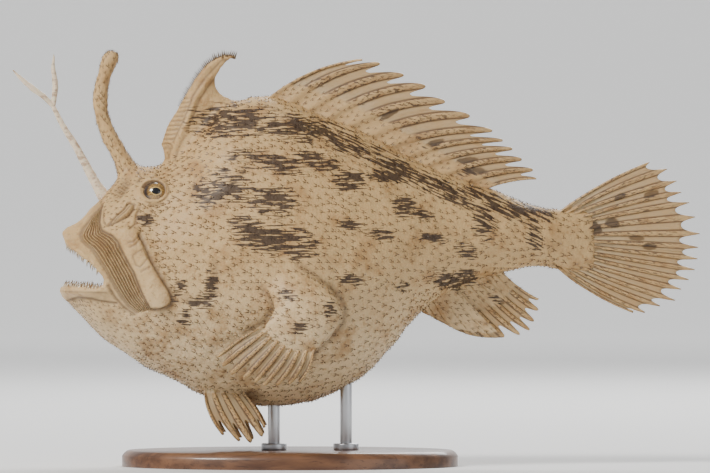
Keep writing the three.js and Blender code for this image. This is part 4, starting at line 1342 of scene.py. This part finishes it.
EDGE_ROUND = 1.5 * MM
ROD_RADIUS = 1.5 * MM
ROD_IN_BELLY = 8 * MM
COLLAR_RADIUS = 3.2 * MM
COLLAR_HEIGHT = 1.4 * MM
SUNK_IN_BASE = 0.3 * MM
low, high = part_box("stand_base")
bpy.ops.mesh.primitive_cylinder_add(vertices=144, radius=1, depth=1, location=(0, 0, 0))
base = bpy.context.object
base.name = "oval_base"
base.scale = ((high[0] - low[0]) / 2, (high[1] - low[1]) / 2, high[2] - low[2])
base.location = (0, 0, (low[2] + high[2]) / 2)
bpy.ops.object.transform_apply(location=True, rotation=True, scale=True)
weights = base.data.attributes.new("bevel_weight_edge", "FLOAT", "EDGE")
for edge in base.data.edges:
    if all(base.data.vertices[corner].co.z > high[2] - 1e-5 for corner in edge.vertices):
        weights.data[edge.index].value = 1.0
apply(base, "BEVEL", limit_method="WEIGHT", width=EDGE_ROUND, segments=6, profile=0.35)
bpy.ops.object.shade_smooth_by_angle(angle=math.radians(35))
base.data.materials.append(wood_finish())
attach(base, "root")
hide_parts("stand_base")

STEEL_FINISH = steel_finish()
for name in ("front", "back"):
    low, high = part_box(f"stand_rod_{name}")
    x = (low[0] + high[0]) / 2
    bottom = low[2] - SUNK_IN_BASE
    pieces = []
    for radius, top in ((ROD_RADIUS, high[2] + ROD_IN_BELLY), (COLLAR_RADIUS, low[2] + COLLAR_HEIGHT)):
        bpy.ops.mesh.primitive_cylinder_add(
            vertices=64, radius=radius, depth=top - bottom, location=(x, 0, (bottom + top) / 2)
        )
        bpy.ops.object.transform_apply(location=True, rotation=True, scale=True)
        apply(bpy.context.object, "BEVEL", limit_method="ANGLE", width=0.3 * MM, segments=3)
        pieces.append(bpy.context.object)
    only(*pieces)
    bpy.ops.object.join()
    rod = bpy.context.object
    rod.name = f"rod_{name}"
    bpy.ops.object.shade_smooth_by_angle(angle=math.radians(35))
    rod.data.materials.append(STEEL_FINISH)
    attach(rod, "root")
    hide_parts(f"stand_rod_{name}")


# The studio: a pale floor that curves up into the backdrop, three soft lamps and a long lens.
# The camera looks straight across at the left side, at the scale of the drawing.
PHOTO = (710, 473)
PHOTO_SCALE = 0.25 * MM
MIDDLE_PIXEL = 290
GROUND_PIXEL = 466
CENTRE_X = (PHOTO[0] / 2 - MIDDLE_PIXEL) * PHOTO_SCALE
CENTRE_Z = (GROUND_PIXEL - PHOTO[1] / 2) * PHOTO_SCALE
DISTANCE = 1.6
# The floor's strip, in metres: flat for a while, then a quarter turn one metre long, then upright.
FLOOR_FRONT_Y = -1.9
FLOOR_WIDTH = 7
FLOOR_RUN = 6.4
FLAT_RUN = 4.0
BEND_RUN = 1.0
BEND_RADIUS = BEND_RUN * 2 / math.pi


def floor_finish():
    """Matt and pale, and lit from within towards the back, so that it has no dark upper edge."""
    finish = Finish("floor")
    place = finish.place()
    colour = finish.mix(finish.noise(place, 3, 2), (0.8, 0.8, 0.79), (0.83, 0.83, 0.82))
    behind = finish.ramp(finish.across(place, (0, 1, 0)), -0.3, 2.0)
    glow = finish.mix(behind, (0, 0, 0), (1, 1, 1))
    fixed = {"Roughness": 0.75, "Emission Strength": 0.48}
    return finish.done(fixed, Base_Color=colour, Emission_Color=glow)


bpy.ops.mesh.primitive_grid_add(x_subdivisions=2, y_subdivisions=110, size=1, location=(0, 0, 0))
floor = bpy.context.object
floor.name = "floor"
for vertex in floor.data.vertices:
    run = (vertex.co.y + 0.5) * FLOOR_RUN
    angle = min(max(run - FLAT_RUN, 0), BEND_RUN) / BEND_RUN * math.pi / 2
    rise = max(run - FLAT_RUN - BEND_RUN, 0)
    y = FLOOR_FRONT_Y + min(run, FLAT_RUN) + BEND_RADIUS * math.sin(angle)
    z = BEND_RADIUS * (1 - math.cos(angle)) + rise
    vertex.co = (vertex.co.x * FLOOR_WIDTH, y, z)
bpy.ops.object.shade_smooth()
floor.data.materials.append(floor_finish())


MIDDLE = (0.01, 0, 0.055)


def lamp(name, place, size, power, colour=(1, 1, 1)):
    light = bpy.data.lights.new(name, "AREA")
    light.size = size
    light.energy = power
    light.color = colour
    item = bpy.data.objects.new(name, light)
    item.location = place
    item.rotation_euler = (Vector(MIDDLE) - Vector(place)).to_track_quat("-Z", "Y").to_euler()
    bpy.context.collection.objects.link(item)


lamp("key", (-0.7, -0.6, 0.85), 0.35, 17, (1, 0.98, 0.95))
lamp("fill", (0.9, -0.8, 0.25), 0.9, 2.2, (0.95, 0.97, 1))
lamp("rim", (0.25, 0.7, 0.7), 0.6, 9)
world = bpy.data.worlds.new("studio")
world.use_nodes = True
world.node_tree.nodes["Background"].inputs[0].default_value = (0.9, 0.92, 0.95, 1)
world.node_tree.nodes["Background"].inputs[1].default_value = 0.34
bpy.context.scene.world = world

SENSOR = 36
lens = bpy.data.cameras.new("camera")
lens.sensor_width = SENSOR
lens.lens = SENSOR * DISTANCE / (PHOTO[0] * PHOTO_SCALE)
lens.clip_start = 0.05
camera = bpy.data.objects.new("camera", lens)
camera.location = (CENTRE_X, -DISTANCE, CENTRE_Z)
camera.rotation_euler = (math.pi / 2, 0, 0)
bpy.context.collection.objects.link(camera)
bpy.context.scene.camera = camera
